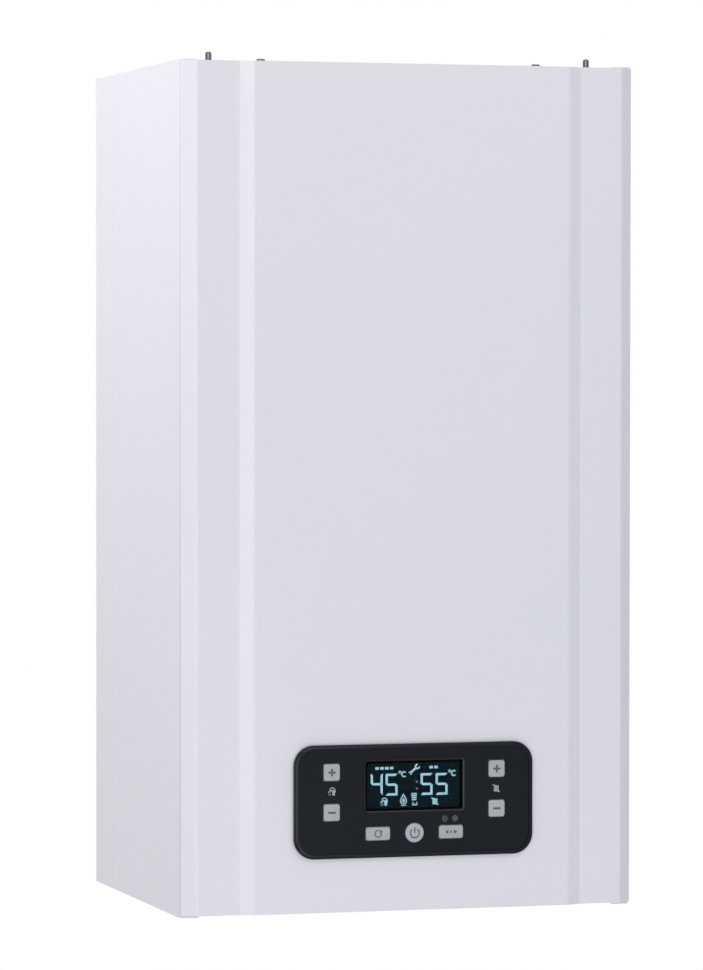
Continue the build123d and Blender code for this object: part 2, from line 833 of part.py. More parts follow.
def make_firebox():
    """Firebox walls round burner and flames, with a lip that carries the burner."""
    width = 2 * firebox_half
    tall = firebox_top - firebox_bottom
    walls = Rectangle(width, firebox_depth) - Rectangle(width - 2 * heavy_sheet, firebox_depth - 2 * heavy_sheet)
    lip = Rectangle(width - heavy_sheet, firebox_depth - heavy_sheet)
    lip -= Rectangle(width - 14, firebox_depth - 14)
    box = Pos(0, firebox_middle, firebox_bottom) * (extrude(walls, tall) + extrude(lip, heavy_sheet))
    jets = (manifold_z - 11, manifold_z + 11)
    jets_half = firebox_half - 8
    box -= block((-jets_half, jets_half), (firebox_front - 1, firebox_front + 3), jets)
    for x in electrode_places:
        box -= along_y(x, electrode_z, firebox_front + 3, firebox_front - 1, 8.2)
    return box


electrode_places = (-16.0, 16.0)
electrode_z = firebox_bottom + burner_height + 12.0


def make_insulation():
    """Ceramic-fibre boards on the four walls above the burner."""
    low = firebox_bottom + burner_height + 3
    high = firebox_top - 1
    inner_half = firebox_half - heavy_sheet
    deep = (firebox_back - heavy_sheet, firebox_front + heavy_sheet)
    side = block((inner_half - insulation, inner_half), deep, (low, high))
    boards = both_sides(side)
    middle_half = inner_half - insulation - 0.2
    wide = (-middle_half, middle_half)
    boards += block(wide, (deep[0], deep[0] - insulation), (low, high))
    front = block(wide, (deep[1] + insulation, deep[1]), (low, high))
    for x in electrode_places:
        front -= along_y(x, electrode_z, deep[1] + insulation + 1, deep[1] - 1, 9)
    return boards + front


def make_burner():
    """Row of slotted burner blades on two cross bars."""
    low = firebox_bottom + heavy_sheet
    deep = (firebox_back - heavy_sheet - 3, firebox_front + heavy_sheet + 3)
    blade_top = low + burner_height - 3
    section = Rectangle(blade_width, blade_top - low, align=(Align.CENTER, Align.MIN))
    section = fillet(section.vertices().group_by(Axis.Y)[-1], blade_width / 2 - 1)
    blade = Pos(0, deep[0], low) * extrude(Plane.XZ * section, deep[0] - deep[1])
    blade -= block((-1, 1), (deep[0] - 8, deep[1] + 8), (blade_top - 4, blade_top + 1))
    blade -= along_y(0, manifold_z, deep[1] + 30, deep[1] - 1, 9)
    first = -(blade_count - 1) * blade_pitch / 2
    burner = Part()
    for index in range(blade_count):
        burner += Pos(first + index * blade_pitch, 0, 0) * blade
    bar_half = firebox_half - heavy_sheet - 0.2
    for y in (deep[0] - 20, deep[1] + 30):
        burner += block((-bar_half, bar_half), (y, y - 10), (low, low + 6))
    return burner


def make_manifold():
    """Gas rail across the burner's front, with a jet at every blade and two fixing lugs."""
    rail_half = firebox_half - 6
    rail = along_x(manifold_y, manifold_z, -rail_half, rail_half, manifold_size)
    first = -(blade_count - 1) * blade_pitch / 2
    for index in range(blade_count):
        x = first + index * blade_pitch
        rail += along_y(x, manifold_z, firebox_front + 3, manifold_y, 6)
    for x in (-rail_half + 4, rail_half - 4):
        rail += block((x - 4, x + 4), (manifold_y + 2, firebox_front), (manifold_z - 18, manifold_z + 18))
        rail += block((x - 4, x + 4), (manifold_y + 4, manifold_y - 2), (manifold_z - 6, manifold_z + 6))
    low = manifold_z - manifold_size / 2 - 5
    rail += upright(0, manifold_y, low, manifold_z, gas_pipe + 4)
    rail -= upright(0, manifold_y, low - 1, manifold_z, gas_pipe - 2)
    return rail - along_x(manifold_y, manifold_z, -rail_half + 3, rail_half - 3, manifold_size - 6)


def make_electrodes():
    """Spark and flame electrodes in ceramic sleeves on one plate."""
    span = (electrode_places[0] - electrode_margin, electrode_places[1] + electrode_margin)
    unit = block(span, (firebox_front, firebox_front - 1.5), (electrode_z - 8, electrode_z + 8))
    for x in electrode_places:
        sleeve_back = firebox_front + electrode_sleeve
        unit += along_y(x, electrode_z, sleeve_back, firebox_front - 16, 8)
        unit += along_y(x, electrode_z, firebox_front + electrode_reach, sleeve_back, 2.4)
    return unit


def make_exchanger():
    """Copper heat exchanger: fins on flat tubes between end plates, with side headers."""
    low, high = firebox_top, exchanger_top
    middle = (low + high) / 2
    span = (firebox_back, firebox_front)
    unit = both_sides(block((firebox_half - 2, firebox_half), span, (low, high)))
    pitch = 2 * (firebox_half - 2) / (fin_count + 1)
    for index in range(fin_count):
        x = -firebox_half + 2 + (index + 1) * pitch - fin_thickness / 2
        unit += block((x, x + fin_thickness), (span[0] - 2, span[1] + 2), (low + 2, high - 2))
    section = chamfer(Rectangle(tube_width, tube_height).vertices(), tube_width / 3)
    tube = Pos(-firebox_half, 0, middle) * extrude(Plane.YZ * section, 2 * firebox_half)
    for index in range(tube_count):
        y = firebox_middle + (index - (tube_count - 1) / 2) * tube_pitch
        unit += Pos(0, y, 0) * tube
    reach = (tube_count - 1) * tube_pitch / 2 + tube_width
    header = block((firebox_half, firebox_half + header_width),
                   (firebox_middle + reach, firebox_middle - reach),
                   (middle - tube_height / 2 - 2, middle + tube_height / 2 + 2))
    header = fillet(header.edges().filter_by(Axis.Z).group_by(Axis.X)[-1], 10)
    header += upright(nozzle_x, firebox_middle, nozzle_low, middle, heating_pipe)
    header -= upright(nozzle_x, firebox_middle, nozzle_low - 1, middle, heating_pipe - 3)
    return unit + both_sides(header)


def make_hood():
    """Flue hood: a tapered hopper over the exchanger and a neck that rises behind the fan."""
    neck_y = fan_back + neck_depth / 2

    def hopper(inset):
        base = Pos(0, firebox_middle, exchanger_top) * Rectangle(
            2 * (firebox_half - inset), firebox_depth - 2 * inset)
        crown = Pos(fan_x, neck_y, hood_top) * Rectangle(
            neck_width - 2 * inset, neck_depth - 2 * inset)
        return loft([base, crown])

    neck_x = (fan_x - neck_width / 2, fan_x + neck_width / 2)
    neck_top = fan_z + neck_width / 2
    neck = block(neck_x, (fan_back + neck_depth, fan_back), (hood_top, neck_top))
    hood = hopper(0) + neck - hopper(heavy_sheet)
    inner_x = (neck_x[0] + heavy_sheet, neck_x[1] - heavy_sheet)
    inner_y = (fan_back + neck_depth - heavy_sheet, fan_back + heavy_sheet)
    hood -= block(inner_x, inner_y, (hood_top - 1, neck_top - heavy_sheet))
    return hood - along_y(fan_x, fan_z, fan_back + 4, fan_back - 1, inlet_size)


def volute_outline(inset):
    """Fan scroll as seen from the front: a round case with a straight outlet upward."""
    radius = volute_radius - inset
    scroll = Circle(radius)
    tall = volute_radius
    outlet = Pos(-fan_x, tall / 2) * Rectangle(spigot_size - 2 * inset, tall)
    return Pos(fan_x, fan_z) * (scroll + outlet)


def make_fan_housing():
    """Pressed fan scroll with a round inlet behind and the flue spigot on top."""
    case = plate_at(volute_outline(0), fan_back, fan_width)
    case -= plate_at(volute_outline(1.5), fan_back - 1.5, fan_width - 3)
    case -= along_y(fan_x, fan_z, fan_back + 1, fan_back - 4, inlet_size)
    case -= along_y(fan_x, fan_z, fan_front + 4, fan_front - 1, 14)
    low = fan_z + volute_radius
    case += upright(0, spigot_y, low, spigot_top, spigot_size)
    return case - upright(0, spigot_y, low - 4, spigot_top + 1, spigot_size - 2 * spigot_wall)


def make_fan_motor():
    """Fan motor on the scroll's front face, bored for the shaft."""
    flange_front = fan_front - 3
    motor = along_y(fan_x, fan_z, fan_front, flange_front, fan_motor_size + 12)
    body = along_y(fan_x, fan_z, flange_front, fan_front - fan_motor_length, fan_motor_size)
    motor += fillet(body.edges().sort_by(Axis.Y)[0], 6)
    return motor - along_y(fan_x, fan_z, fan_front + 1, fan_front - fan_motor_length + 11, fan_shaft + running_gap)


def make_fan_impeller():
    """Squirrel-cage wheel with curved-in blades, on its shaft."""
    radius = impeller_size / 2
    front = fan_front + 6
    back = front + impeller_width
    wheel = along_y(0, 0, front + 1.5, front, impeller_size)
    rim = along_y(0, 0, back, back - 1.5, impeller_size)
    wheel += rim - along_y(0, 0, back + 1, back - 2, impeller_size - 22)
    blade = Pos(radius - 6, 0) * Rot(0, 0, 35) * Rectangle(10, 1)
    slat = plate_at(blade, back - 0.7, impeller_width - 1.4)
    for index in range(fan_blades):
        wheel += Rot(0, index * 360 / fan_blades, 0) * slat
    wheel += along_y(0, 0, front + 16, front, 18)
    wheel += along_y(0, 0, front + 16, fan_front - fan_motor_length + 13, fan_shaft)
    return Pos(fan_x, 0, fan_z) * wheel


def make_pressure_switch():
    """Air pressure switch on the chamber's back wall, with two hose nipples."""
    x, z = chamber_half - switch_size, chamber_top - switch_drop
    back = chamber_back - sheet
    front = back - switch_size / 2
    unit = along_y(x, z, back, front, switch_size - 4)
    unit += along_y(x, z, back, back - 12, switch_size)
    unit += along_y(x, z, back - 12, back - 16, switch_size + 6)
    for shift in (-switch_size / 5, switch_size / 5):
        unit += along_y(x + shift, z - 8, front, front - 12, 6)
    return unit


# ---------------------------------------------------------------- water parts
def stub(x, size, bore, high):
    """A stub's threaded end, its thicker shank, and the collar that stands on the bottom plate."""
    shank_low = stub_low + stub_thread
    tube = upright(x, stub_y, stub_low, shank_low, size)
    tube += upright(x, stub_y, shank_low, high, size + stub_shoulder)
    tube += upright(x, stub_y, floor_top, floor_top + collar_height, collar_size)
    return tube, upright(x, stub_y, stub_low - 1, high, bore)


def make_diverter_body():
    """Left casting: heating flow and hot water stubs with the three-way valve."""
    flow, flow_bore = stub(flow_x, large_stub, large_bore, port_high)
    hot, hot_bore = stub(-stub_pitch, small_stub, small_bore, port_low)
    gallery_y = diverter_back - gallery / 2 - gallery_set
    body = flow + hot
    body += along_y(flow_x, port_high, diverter_back, diverter_front, diverter_size)
    body += along_x(gallery_y, port_high, flow_x, -stub_pitch, gallery)
    body += Pos(-stub_pitch, gallery_y, port_high) * Sphere(gallery / 2)
    body += along_y(-stub_pitch, port_high, plate_front, gallery_y, gallery)
    body += along_y(-stub_pitch, port_low, plate_front, stub_y, gallery)
    body += Pos(-stub_pitch, stub_y, port_low) * Sphere(gallery / 2)
    body += block((flow_x, -stub_pitch), (stub_y + 4, stub_y - 4), (port_low - 4, port_high))
    body += upright(flow_x, stub_y, port_high, diverter_top, large_stub)
    body -= flow_bore + hot_bore
    body -= upright(flow_x, stub_y, port_high, diverter_top + 1, heating_pipe - 2)
    body -= along_y(-stub_pitch, port_low, plate_front + 1, stub_y, small_bore)
    body -= along_y(-stub_pitch, port_high, plate_front + 1, gallery_y, small_bore)
    body -= along_x(gallery_y, port_high, flow_x, -stub_pitch, small_bore)
    bore_back = diverter_back - diverter_end_wall
    return body - along_y(flow_x, port_high, bore_back, diverter_front - 1, diverter_bore)


def make_diverter_motor():
    """Clip-on motor that pushes the valve spindle."""
    side = diverter_motor / 2
    back = diverter_front
    deep = (back, back - diverter_motor_length)
    motor = block((flow_x - side, flow_x + side), deep, (port_high - side, port_high + side))
    motor = fillet(motor.edges().filter_by(Axis.Y), 6)
    motor = chamfer(motor.faces().sort_by(Axis.Y)[0].edges(), 3)
    motor += block((flow_x - 9, flow_x + 9), (back - 12, back - 32), (port_high - side - 9, port_high - side))
    return motor - along_y(flow_x, port_high, back + 1, back - 30, spindle_size + 2 * running_gap)


def make_spindle():
    """Valve spindle with its disc; it slides toward the wall to send water to the taps' side."""
    disc_back = diverter_back - diverter_end_wall - spindle_travel - 4
    spindle = along_y(flow_x, port_high, disc_back, disc_back - 6, diverter_bore - 4)
    spindle += along_y(flow_x, port_high, disc_back - 6, disc_back - 12, 12)
    return spindle + along_y(flow_x, port_high, disc_back - 6, diverter_front - 18, spindle_size)


def make_pump_body():
    """Right casting: heating return stub, pump scroll and ports to both exchangers."""
    back_stub, back_bore = stub(return_x, large_stub, large_bore, pump_z)
    gallery_y = volute_back - gallery / 2 - gallery_set
    body = back_stub + along_y(return_x, pump_z, volute_back, volute_front, volute_size)
    body += along_x(gallery_y, port_high, stub_pitch, return_x, gallery)
    body += Pos(stub_pitch, gallery_y, port_high) * Sphere(gallery / 2)
    body += along_y(stub_pitch, port_high, plate_front, gallery_y, gallery)
    body += upright(return_x, pump_y, pump_z, pump_top, large_stub)
    body += along_y(return_x, pump_z, volute_back + 15, volute_back, 14)
    body += upright(vent_x, pump_y, pump_z, vent_low, 20)
    body += along_x(stub_y, relief_z, return_x, relief_place - relief_size / 2 - 0.1, 16)
    body -= along_y(return_x, pump_z, volute_back - 10, volute_front - 1, pump_cavity)
    body -= back_bore
    body -= upright(return_x, pump_y, pump_z, pump_top + 1, heating_pipe - 2)
    body -= along_y(return_x, pump_z, volute_back + 16, volute_back - 11, vessel_pipe_size - 2)
    body -= along_x(gallery_y, port_high, stub_pitch, return_x, small_bore)
    return body - along_y(stub_pitch, port_high, plate_front + 1, gallery_y, small_bore)


relief_z = floor_top + 34.0


def make_pump_motor():
    """Wet-rotor pump motor with a flange, cooling ribs and a terminal box."""
    back = volute_front
    front = back - pump_motor_length
    motor = along_y(return_x, pump_z, back, back - 6, volute_size - 4)
    motor += along_y(return_x, pump_z, back - 6, front, pump_motor_size - 8)
    for index in range(5):
        y = back - 16 - index * 11
        motor += along_y(return_x, pump_z, y, y - 3, pump_motor_size)
    motor += along_y(return_x, pump_z, front, front - 3, 26)
    return motor - along_y(return_x, pump_z, back + 1, back - 34, pump_shaft + 2 * running_gap)


def make_pump_impeller():
    """Pump wheel with six vanes on its shaft."""
    back = volute_back - 15
    front = volute_front + 5
    wheel = along_y(0, 0, front + 3, front, pump_rotor)
    vane = Pos(pump_rotor / 4 + 1, 0) * Rot(0, 0, 25) * Rectangle(pump_rotor / 2 - 10, 2)
    slat = plate_at(vane, back, back - front)
    for index in range(6):
        wheel += Rot(0, index * 60, 0) * slat
    wheel += along_y(0, 0, back, front, 16)
    wheel += along_y(0, 0, front, volute_front - 32, pump_shaft)
    return Pos(return_x, 0, pump_z) * wheel


def make_air_vent():
    """Automatic air vent on the pump, with its small cap."""
    high = vent_low + vent_height
    vent = upright(vent_x, pump_y, vent_low, vent_low + 8, 18)
    body = upright(vent_x, pump_y, vent_low + 8, high, vent_size)
    vent += chamfer(body.edges().filter_by(GeomType.CIRCLE), 2)
    return vent + upright(vent_x, pump_y, high, high + 9, 10)


def make_relief_valve():
    """Safety valve beside the return stub, with a spout down through the plate."""
    back = stub_y + relief_set
    front = back - relief_length
    valve = along_y(relief_place, relief_z, back, front, relief_size)
    valve += along_y(relief_place, relief_z, front, front - 4, relief_size - 8)
    valve += upright(relief_place, stub_y + 8, floor_low - 12, relief_z, 13)
    valve -= upright(relief_place, stub_y + 8, floor_low - 13, relief_z - 8, 9)
    return valve - along_y(relief_place, relief_z, front + relief_socket, front - 5, 6 + 2 * running_gap)


def make_relief_knob():
    """Ribbed test knob that turns on the safety valve's front."""
    back = stub_y + relief_set - relief_length - 4 - 0.3
    grip = Circle(relief_knob / 2)
    for index in range(8):
        angle = radians(index * 45)
        place = (relief_knob / 2 * cos(angle), relief_knob / 2 * sin(angle))
        grip -= Pos(*place) * Circle(2.5)
    knob = plate_at(grip, back, 16)
    knob += along_y(0, 0, back + 12, back, 6)
    return Pos(relief_place, 0, relief_z) * knob


def make_cold_inlet():
    """Cold water stub with the flow turbine's housing and the port to the exchanger."""
    cold, cold_bore = stub(stub_pitch, small_stub, small_bore, turbine_low)
    high = port_low + gallery / 2 + 3
    body = cold + upright(stub_pitch, stub_y, turbine_low, high, turbine_size)
    body += along_y(stub_pitch, port_low, plate_front, stub_y, gallery)
    body -= cold_bore
    body -= upright(stub_pitch, stub_y, turbine_low, high - 4, turbine_bore)
    body -= along_y(stub_pitch, port_low, plate_front + 1, stub_y, small_bore)
    for low in (turbine_low, turbine_low + 17):
        spider = block((stub_pitch - turbine_bore / 2 - 1, stub_pitch + turbine_bore / 2 + 1),
                       (stub_y - 2, stub_y + 2), (low, low + 2))
        body += spider - upright(stub_pitch, stub_y, low - 1, low + 3, 2.4 + 2 * running_gap)
    return body


turbine_low = floor_top + collar_height


def make_turbine_rotor():
    """Flow turbine rotor between its two spiders."""
    low, high = turbine_low + 2.3, turbine_low + 16.7
    rotor = upright(stub_pitch, stub_y, low, high, 7)
    blade = block((-turbine_bore / 2 + 0.8, turbine_bore / 2 - 0.8), (-0.6, 0.6), (low + 2, high - 2))
    for angle in (0, 60, 120):
        rotor += Pos(stub_pitch, stub_y, 0) * Rot(0, 0, angle) * blade
    return rotor + upright(stub_pitch, stub_y, low - 2, high + 2, 2.4)


def make_filling_tap():
    """Filling valve between the cold and return stubs, its neck down through the plate."""
    z = floor_top + collar_height + 10
    left = stub_pitch + turbine_size / 2 + 0.1
    right = return_x - large_shank / 2 - 0.1
    tap = along_x(stub_y, z, left, right, 15)
    tap += upright(tap_x, stub_y, floor_low - 4, z + 9, 14)
    return tap - upright(tap_x, stub_y, floor_low - 5, z - 4, 6 + 2 * running_gap)


def make_tap_handle():
    """Round ribbed handle under the bottom plate, on the filling valve's stem."""
    high = floor_low - 4.3
    grip = Circle(tap_handle / 2)
    for index in range(6):
        angle = radians(index * 60)
        place = (tap_handle / 2 * cos(angle), tap_handle / 2 * sin(angle))
        grip -= Pos(*place) * Circle(2)
    handle = Pos(0, 0, high - 13) * extrude(grip, 13)
    return Pos(tap_x, stub_y, 0) * (handle + upright(0, 0, high, high + tap_stem, 6))


def make_plate_exchanger():
    """Stacked-plate hot water exchanger: alternating plates between two end plates."""
    half_width = stub_pitch + plate_side
    tall = port_spread + 2 * plate_edge
    pitch = plate_stack / (2 * plate_pairs)
    wide = rounded_at(0, port_middle, 2 * half_width, tall, 14)
    narrow = rounded_at(0, port_middle, 2 * half_width - 5, tall - 5, 12)
    stack = Part()
    for index in range(2 * plate_pairs):
        outline = narrow if index % 2 else wide
        stack += plate_at(outline, plate_back - index * pitch, pitch)
    return stack


def make_heating_pipes():
    """Flow and return pipes between the copper exchanger and the castings."""
    rise = chamber_bottom - diverter_top
    flow = [
        (-nozzle_x, firebox_middle, nozzle_low),
        (-nozzle_x, firebox_middle, diverter_top + 0.6 * rise),
        (flow_x, stub_y, diverter_top + 0.3 * rise),
        (flow_x, stub_y, diverter_top),
    ]
    rise = chamber_bottom - pump_top
    back = [
        (nozzle_x, firebox_middle, nozzle_low),
        (nozzle_x, firebox_middle, pump_top + 0.6 * rise),
        (return_x, pump_y, pump_top + 0.3 * rise),
        (return_x, pump_y, pump_top),
    ]
    pipes = bent_pipe(flow, 40, heating_pipe, pipe_wall)
    return pipes + bent_pipe(back, 40, heating_pipe, pipe_wall)


def make_nuts():
    """Union nuts at the pipe ends and lock nuts under the bottom plate."""
    bore = heating_pipe + 0.2
    nuts = both_sides(hexagon(nozzle_x, firebox_middle, nozzle_low - 10, nozzle_low + 6, 24, bore))
    nuts += hexagon(flow_x, stub_y, diverter_top, diverter_top + 14, 30, bore)
    nuts += hexagon(return_x, pump_y, pump_top, pump_top + 14, 30, bore)
    nuts += hexagon(0, stub_y, valve_low - 14, valve_low, 30, gas_riser + 0.2)
    nuts += hexagon(0, stub_y, valve_high, valve_high + 12, 24, gas_pipe + 0.2)
    for x, size in stub_list():
        low = floor_low - locknut_height
        nuts += hexagon(x, stub_y, low, floor_low, size + 8, size + stub_shoulder + 0.2)
    return nuts


def make_sensors():
    """Overheat cut-out, two clip-on temperature sensors and the water pressure sensor."""
    header_front = firebox_middle - (tube_count - 1) * tube_pitch / 2 - tube_width
    middle = (firebox_top + exchanger_top) / 2
    x = -(firebox_half + 8)
    sensors = along_y(x, middle, header_front, header_front - 8, 15)
    sensors += both_sides(clip_sensor())
    front = stub_y - large_shank / 2 - 0.1
    sensors += along_y(return_x, relief_z + 8, front, front - 20, 18)
    return sensors


def clip_sensor():
    """A sensor clipped half round the heating pipe."""
    low = chamber_bottom - 22
    ring = upright(nozzle_x, firebox_middle, low, low + 12, heating_pipe + 5)
    ring += block((nozzle_x - 5, nozzle_x + 5), (firebox_middle, firebox_middle - sensor_reach), (low, low + 12))
    ring -= upright(nozzle_x, firebox_middle, low - 1, low + 13, heating_pipe + 0.2)
    gap = (nozzle_x - heating_pipe / 3, nozzle_x + heating_pipe / 3)
    return ring - block(gap, (firebox_middle, firebox_middle + 20), (low - 1, low + 13))


# ---------------------------------------------------------------- gas train and electrics
def make_gas_pipes():
    """Gas inlet stub with its riser, and the pipe from the valve to the manifold."""
    inlet, bore = stub(0, large_stub, large_bore, floor_top + 24)
    riser = upright(0, stub_y, floor_top + 24, valve_low, gas_riser)
    inlet += riser - upright(0, stub_y, floor_top + 23, valve_low + 1, gas_riser - 2 * pipe_wall)
    inlet -= bore
    turn_z = (valve_high + chamber_bottom) / 2
    points = [
        (0, stub_y, valve_high),
        (0, stub_y, turn_z),
        (0, manifold_y, turn_z),
        (0, manifold_y, manifold_z - manifold_size / 2 - 5),
    ]
    return inlet + bent_pipe(points, 25, gas_pipe, pipe_wall)


def make_gas_valve():
    """Gas control valve: cast body with two coils on its front."""
    side = valve_width / 2
    deep = (stub_y + valve_depth / 2, valve_front)
    body = block((-side, side), deep, (valve_low + 8, valve_high - 8))
    body = fillet(body.edges().filter_by(Axis.Z), 8)
    body = chamfer(body.faces().sort_by(Axis.Y)[0].edges(), 3)
    body += upright(0, stub_y, valve_low, valve_low + 8, 32)
    body += upright(0, stub_y, valve_high - 8, valve_high, 26)
    for z in (valve_low + 27, valve_high - 27):
        coil = along_y(0, z, valve_front, valve_front - coil_length, coil_size)
        body += chamfer(coil.edges().sort_by(Axis.Y)[0], 2)
        body += along_y(0, z, valve_front - coil_length, valve_front - coil_length - 4, 12)
    return body


def make_control_box():
    """Electronics box under the chamber, with cable exits along its lower edge."""
    right = -(valve_width / 2 + control_box_valve_gap)
    left = -(inside - control_box_side_gap)
    high = chamber_bottom
    low = port_high + diverter_motor / 2 + control_box_clearance
    front = chamber_front + control_box_setback
    back = front + control_box_depth
    box = block((left, right), (back, front), (low, high))
    box = fillet(box.edges().filter_by(Axis.Z), 5)
    wall = 2.5
    box -= block((left + wall, right - wall), (back - wall, front + wall), (low + wall, high - wall))
    spacing = (right - left - control_box_cable_margin) / 3
    for index in range(4):
        x = left + 20 + index * spacing
        box -= upright(x, (back + front) / 2, low - 1, low + wall + 1, 12)
    return box


def make_gland():
    """Cable gland through the bottom plate, with no cable in it."""
    x, y = gland_place
    gland = hexagon(x, y, floor_top, floor_top + 5, gland_size, 8)
    gland += upright(x, y, floor_low - 10, floor_top, gland_size - 6.4)
    gland += hexagon(x, y, floor_low - 6, floor_low, gland_size, 8)
    return gland - upright(x, y, floor_low - 11, floor_top + 6, 8)


# ---------------------------------------------------------------- every node by name
right_panel = make_side_panel()

nodes = {
    "back_frame": make_back_frame(),
    "side_panel_left": mirror(right_panel, about=Plane.YZ),
    "side_panel_right": right_panel,
    "top_plate": make_top_plate(),
    "bottom_plate": make_bottom_plate(),
    "casing_screws": make_casing_screws(),
    "cover_locating_pins": make_locating_pins(),
    "front_cover": make_front_cover(),
    "cover_screws": make_cover_screws(),
    "control_bezel": make_bezel(),
    "display_window": make_window(),
    "display_module": make_display(),
    "keypad_mat": make_keypad(),
    "display_board": make_board(),
    "control_housing": make_housing(),
    "chassis": make_chassis(),
    "expansion_vessel": make_vessel(),
    "vessel_pipe": make_vessel_pipe(),
    "chamber_box": make_chamber_box(),
    "chamber_seals": make_chamber_seals(),
    "chamber_lid": make_chamber_lid(),
    "firebox": make_firebox(),
    "firebox_insulation": make_insulation(),
    "burner": make_burner(),
    "gas_manifold": make_manifold(),
    "electrodes": make_electrodes(),
    "heat_exchanger": make_exchanger(),
    "flue_hood": make_hood(),
    "fan_housing": make_fan_housing(),
    "fan_motor": make_fan_motor(),
    "fan_impeller": make_fan_impeller(),
    "air_pressure_switch": make_pressure_switch(),
    "diverter_body": make_diverter_body(),
    "diverter_motor": make_diverter_motor(),
    "diverter_spindle": make_spindle(),
    "pump_body": make_pump_body(),
    "pump_motor": make_pump_motor(),
    "pump_impeller": make_pump_impeller(),
    "air_vent": make_air_vent(),
    "relief_valve": make_relief_valve(),
    "relief_valve_knob": make_relief_knob(),
    "cold_inlet_block": make_cold_inlet(),
    "flow_turbine_rotor": make_turbine_rotor(),
    "filling_tap": make_filling_tap(),
    "filling_tap_handle": make_tap_handle(),
    "plate_exchanger": make_plate_exchanger(),
    "heating_pipes": make_heating_pipes(),
    "pipe_nuts": make_nuts(),
    "sensors": make_sensors(),
    "gas_pipes": make_gas_pipes(),
    "gas_valve": make_gas_valve(),
    "control_box": make_control_box(),
    "cable_gland": make_gland(),
}
nodes.update(make_buttons())

for name, shape in nodes.items():
    export_step(shape, f"parts/{name}.step")
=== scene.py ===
from math import cos, pi, radians, sin

import bmesh
import bpy
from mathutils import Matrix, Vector


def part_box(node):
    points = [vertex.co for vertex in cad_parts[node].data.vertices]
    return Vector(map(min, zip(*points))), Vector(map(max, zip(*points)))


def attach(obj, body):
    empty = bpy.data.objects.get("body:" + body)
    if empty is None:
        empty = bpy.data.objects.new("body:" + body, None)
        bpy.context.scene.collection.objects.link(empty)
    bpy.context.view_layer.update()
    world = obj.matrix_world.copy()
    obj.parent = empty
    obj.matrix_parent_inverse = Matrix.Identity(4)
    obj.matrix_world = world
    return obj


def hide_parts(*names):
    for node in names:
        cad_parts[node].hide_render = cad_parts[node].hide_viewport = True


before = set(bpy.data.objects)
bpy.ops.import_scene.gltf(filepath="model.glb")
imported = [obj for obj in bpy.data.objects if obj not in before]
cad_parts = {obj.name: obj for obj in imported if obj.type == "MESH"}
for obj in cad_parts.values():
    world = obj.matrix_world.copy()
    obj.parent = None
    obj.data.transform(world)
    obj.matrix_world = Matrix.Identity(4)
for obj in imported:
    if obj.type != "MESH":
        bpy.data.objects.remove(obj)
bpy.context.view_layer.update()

# The looks of the wall-hung boiler: paint, sheet metal, brass, copper and the lit control panel.
# Places on the part are in millimetres in its own frame: x to the right, z up, the front at -y.
# The camera, the lamps, the floor and the finishes are in metres.
MM = 0.001


# ---------------------------------------------------------------- camera, light and surroundings
def set_camera():
    """The photograph's view: a long lens to the left of the middle, level with the case.

    Its place, direction, roll and length were fitted to the case's corners in the photograph.
    """
    place = (-1.2290, -4.2607, -0.2112)
    view = Vector((0.2857, 0.9580, -0.0257))
    roll = 0.001
    lens = bpy.data.cameras.new("photo_camera")
    lens.sensor_width = 36.0
    lens.lens = 175.96
    lens.clip_end = 100.0
    camera = bpy.data.objects.new("photo_camera", lens)
    bpy.context.scene.collection.objects.link(camera)
    camera.location = place
    camera.rotation_euler = view.to_track_quat("-Z", "Y").to_euler()
    camera.rotation_euler.rotate_axis("Z", roll)
    bpy.context.scene.camera = camera


def add_lamp(name, place, target, size, power, tint=(1.0, 1.0, 1.0)):
    """A soft square lamp aimed at a point."""
    lamp = bpy.data.lights.new(name, "AREA")
    lamp.size = size
    lamp.energy = power
    lamp.color = tint
    holder = bpy.data.objects.new(name, lamp)
    bpy.context.scene.collection.objects.link(holder)
    holder.location = place
    holder.rotation_euler = (Vector(target) - Vector(place)).to_track_quat("-Z", "Y").to_euler()


def set_room():
    """An even pale room that reads as white behind the boiler."""
    world = bpy.data.worlds.new("pale_room")
    bpy.context.scene.world = world
    world.use_nodes = True
    tree = world.node_tree
    tree.nodes.clear()
    out = tree.nodes.new("ShaderNodeOutputWorld")
    light = tree.nodes.new("ShaderNodeBackground")
    light.inputs["Color"].default_value = (0.93, 0.95, 1.0, 1.0)
    light.inputs["Strength"].default_value = 0.37
    seen = tree.nodes.new("ShaderNodeBackground")
    seen.inputs["Color"].default_value = (1.0, 1.0, 1.0, 1.0)
    seen.inputs["Strength"].default_value = 1.0
    room = either(tree, seen_rays(tree), light.outputs[0], seen.outputs[0])
    tree.links.new(room, out.inputs["Surface"])


def either(tree, factor, first, second):
    """One shader where the factor is nought, another where it is one."""
    mix = tree.nodes.new("ShaderNodeMixShader")
    tree.links.new(factor, mix.inputs["Fac"])
    tree.links.new(first, mix.inputs[1])
    tree.links.new(second, mix.inputs[2])
    return mix.outputs[0]


def seen_rays(tree):
    """One for rays from the camera, or seen in gloss or through glass."""
    path = tree.nodes.new("ShaderNodeLightPath")
    first = tree.nodes.new("ShaderNodeMath")
    first.operation = "MAXIMUM"
    both = tree.nodes.new("ShaderNodeMath")
    both.operation = "MAXIMUM"
    tree.links.new(path.outputs["Is Camera Ray"], first.inputs[0])
    tree.links.new(path.outputs["Is Glossy Ray"], first.inputs[1])
    tree.links.new(first.outputs[0], both.inputs[0])
    tree.links.new(path.outputs["Is Transmission Ray"], both.inputs[1])
    return both.outputs[0]


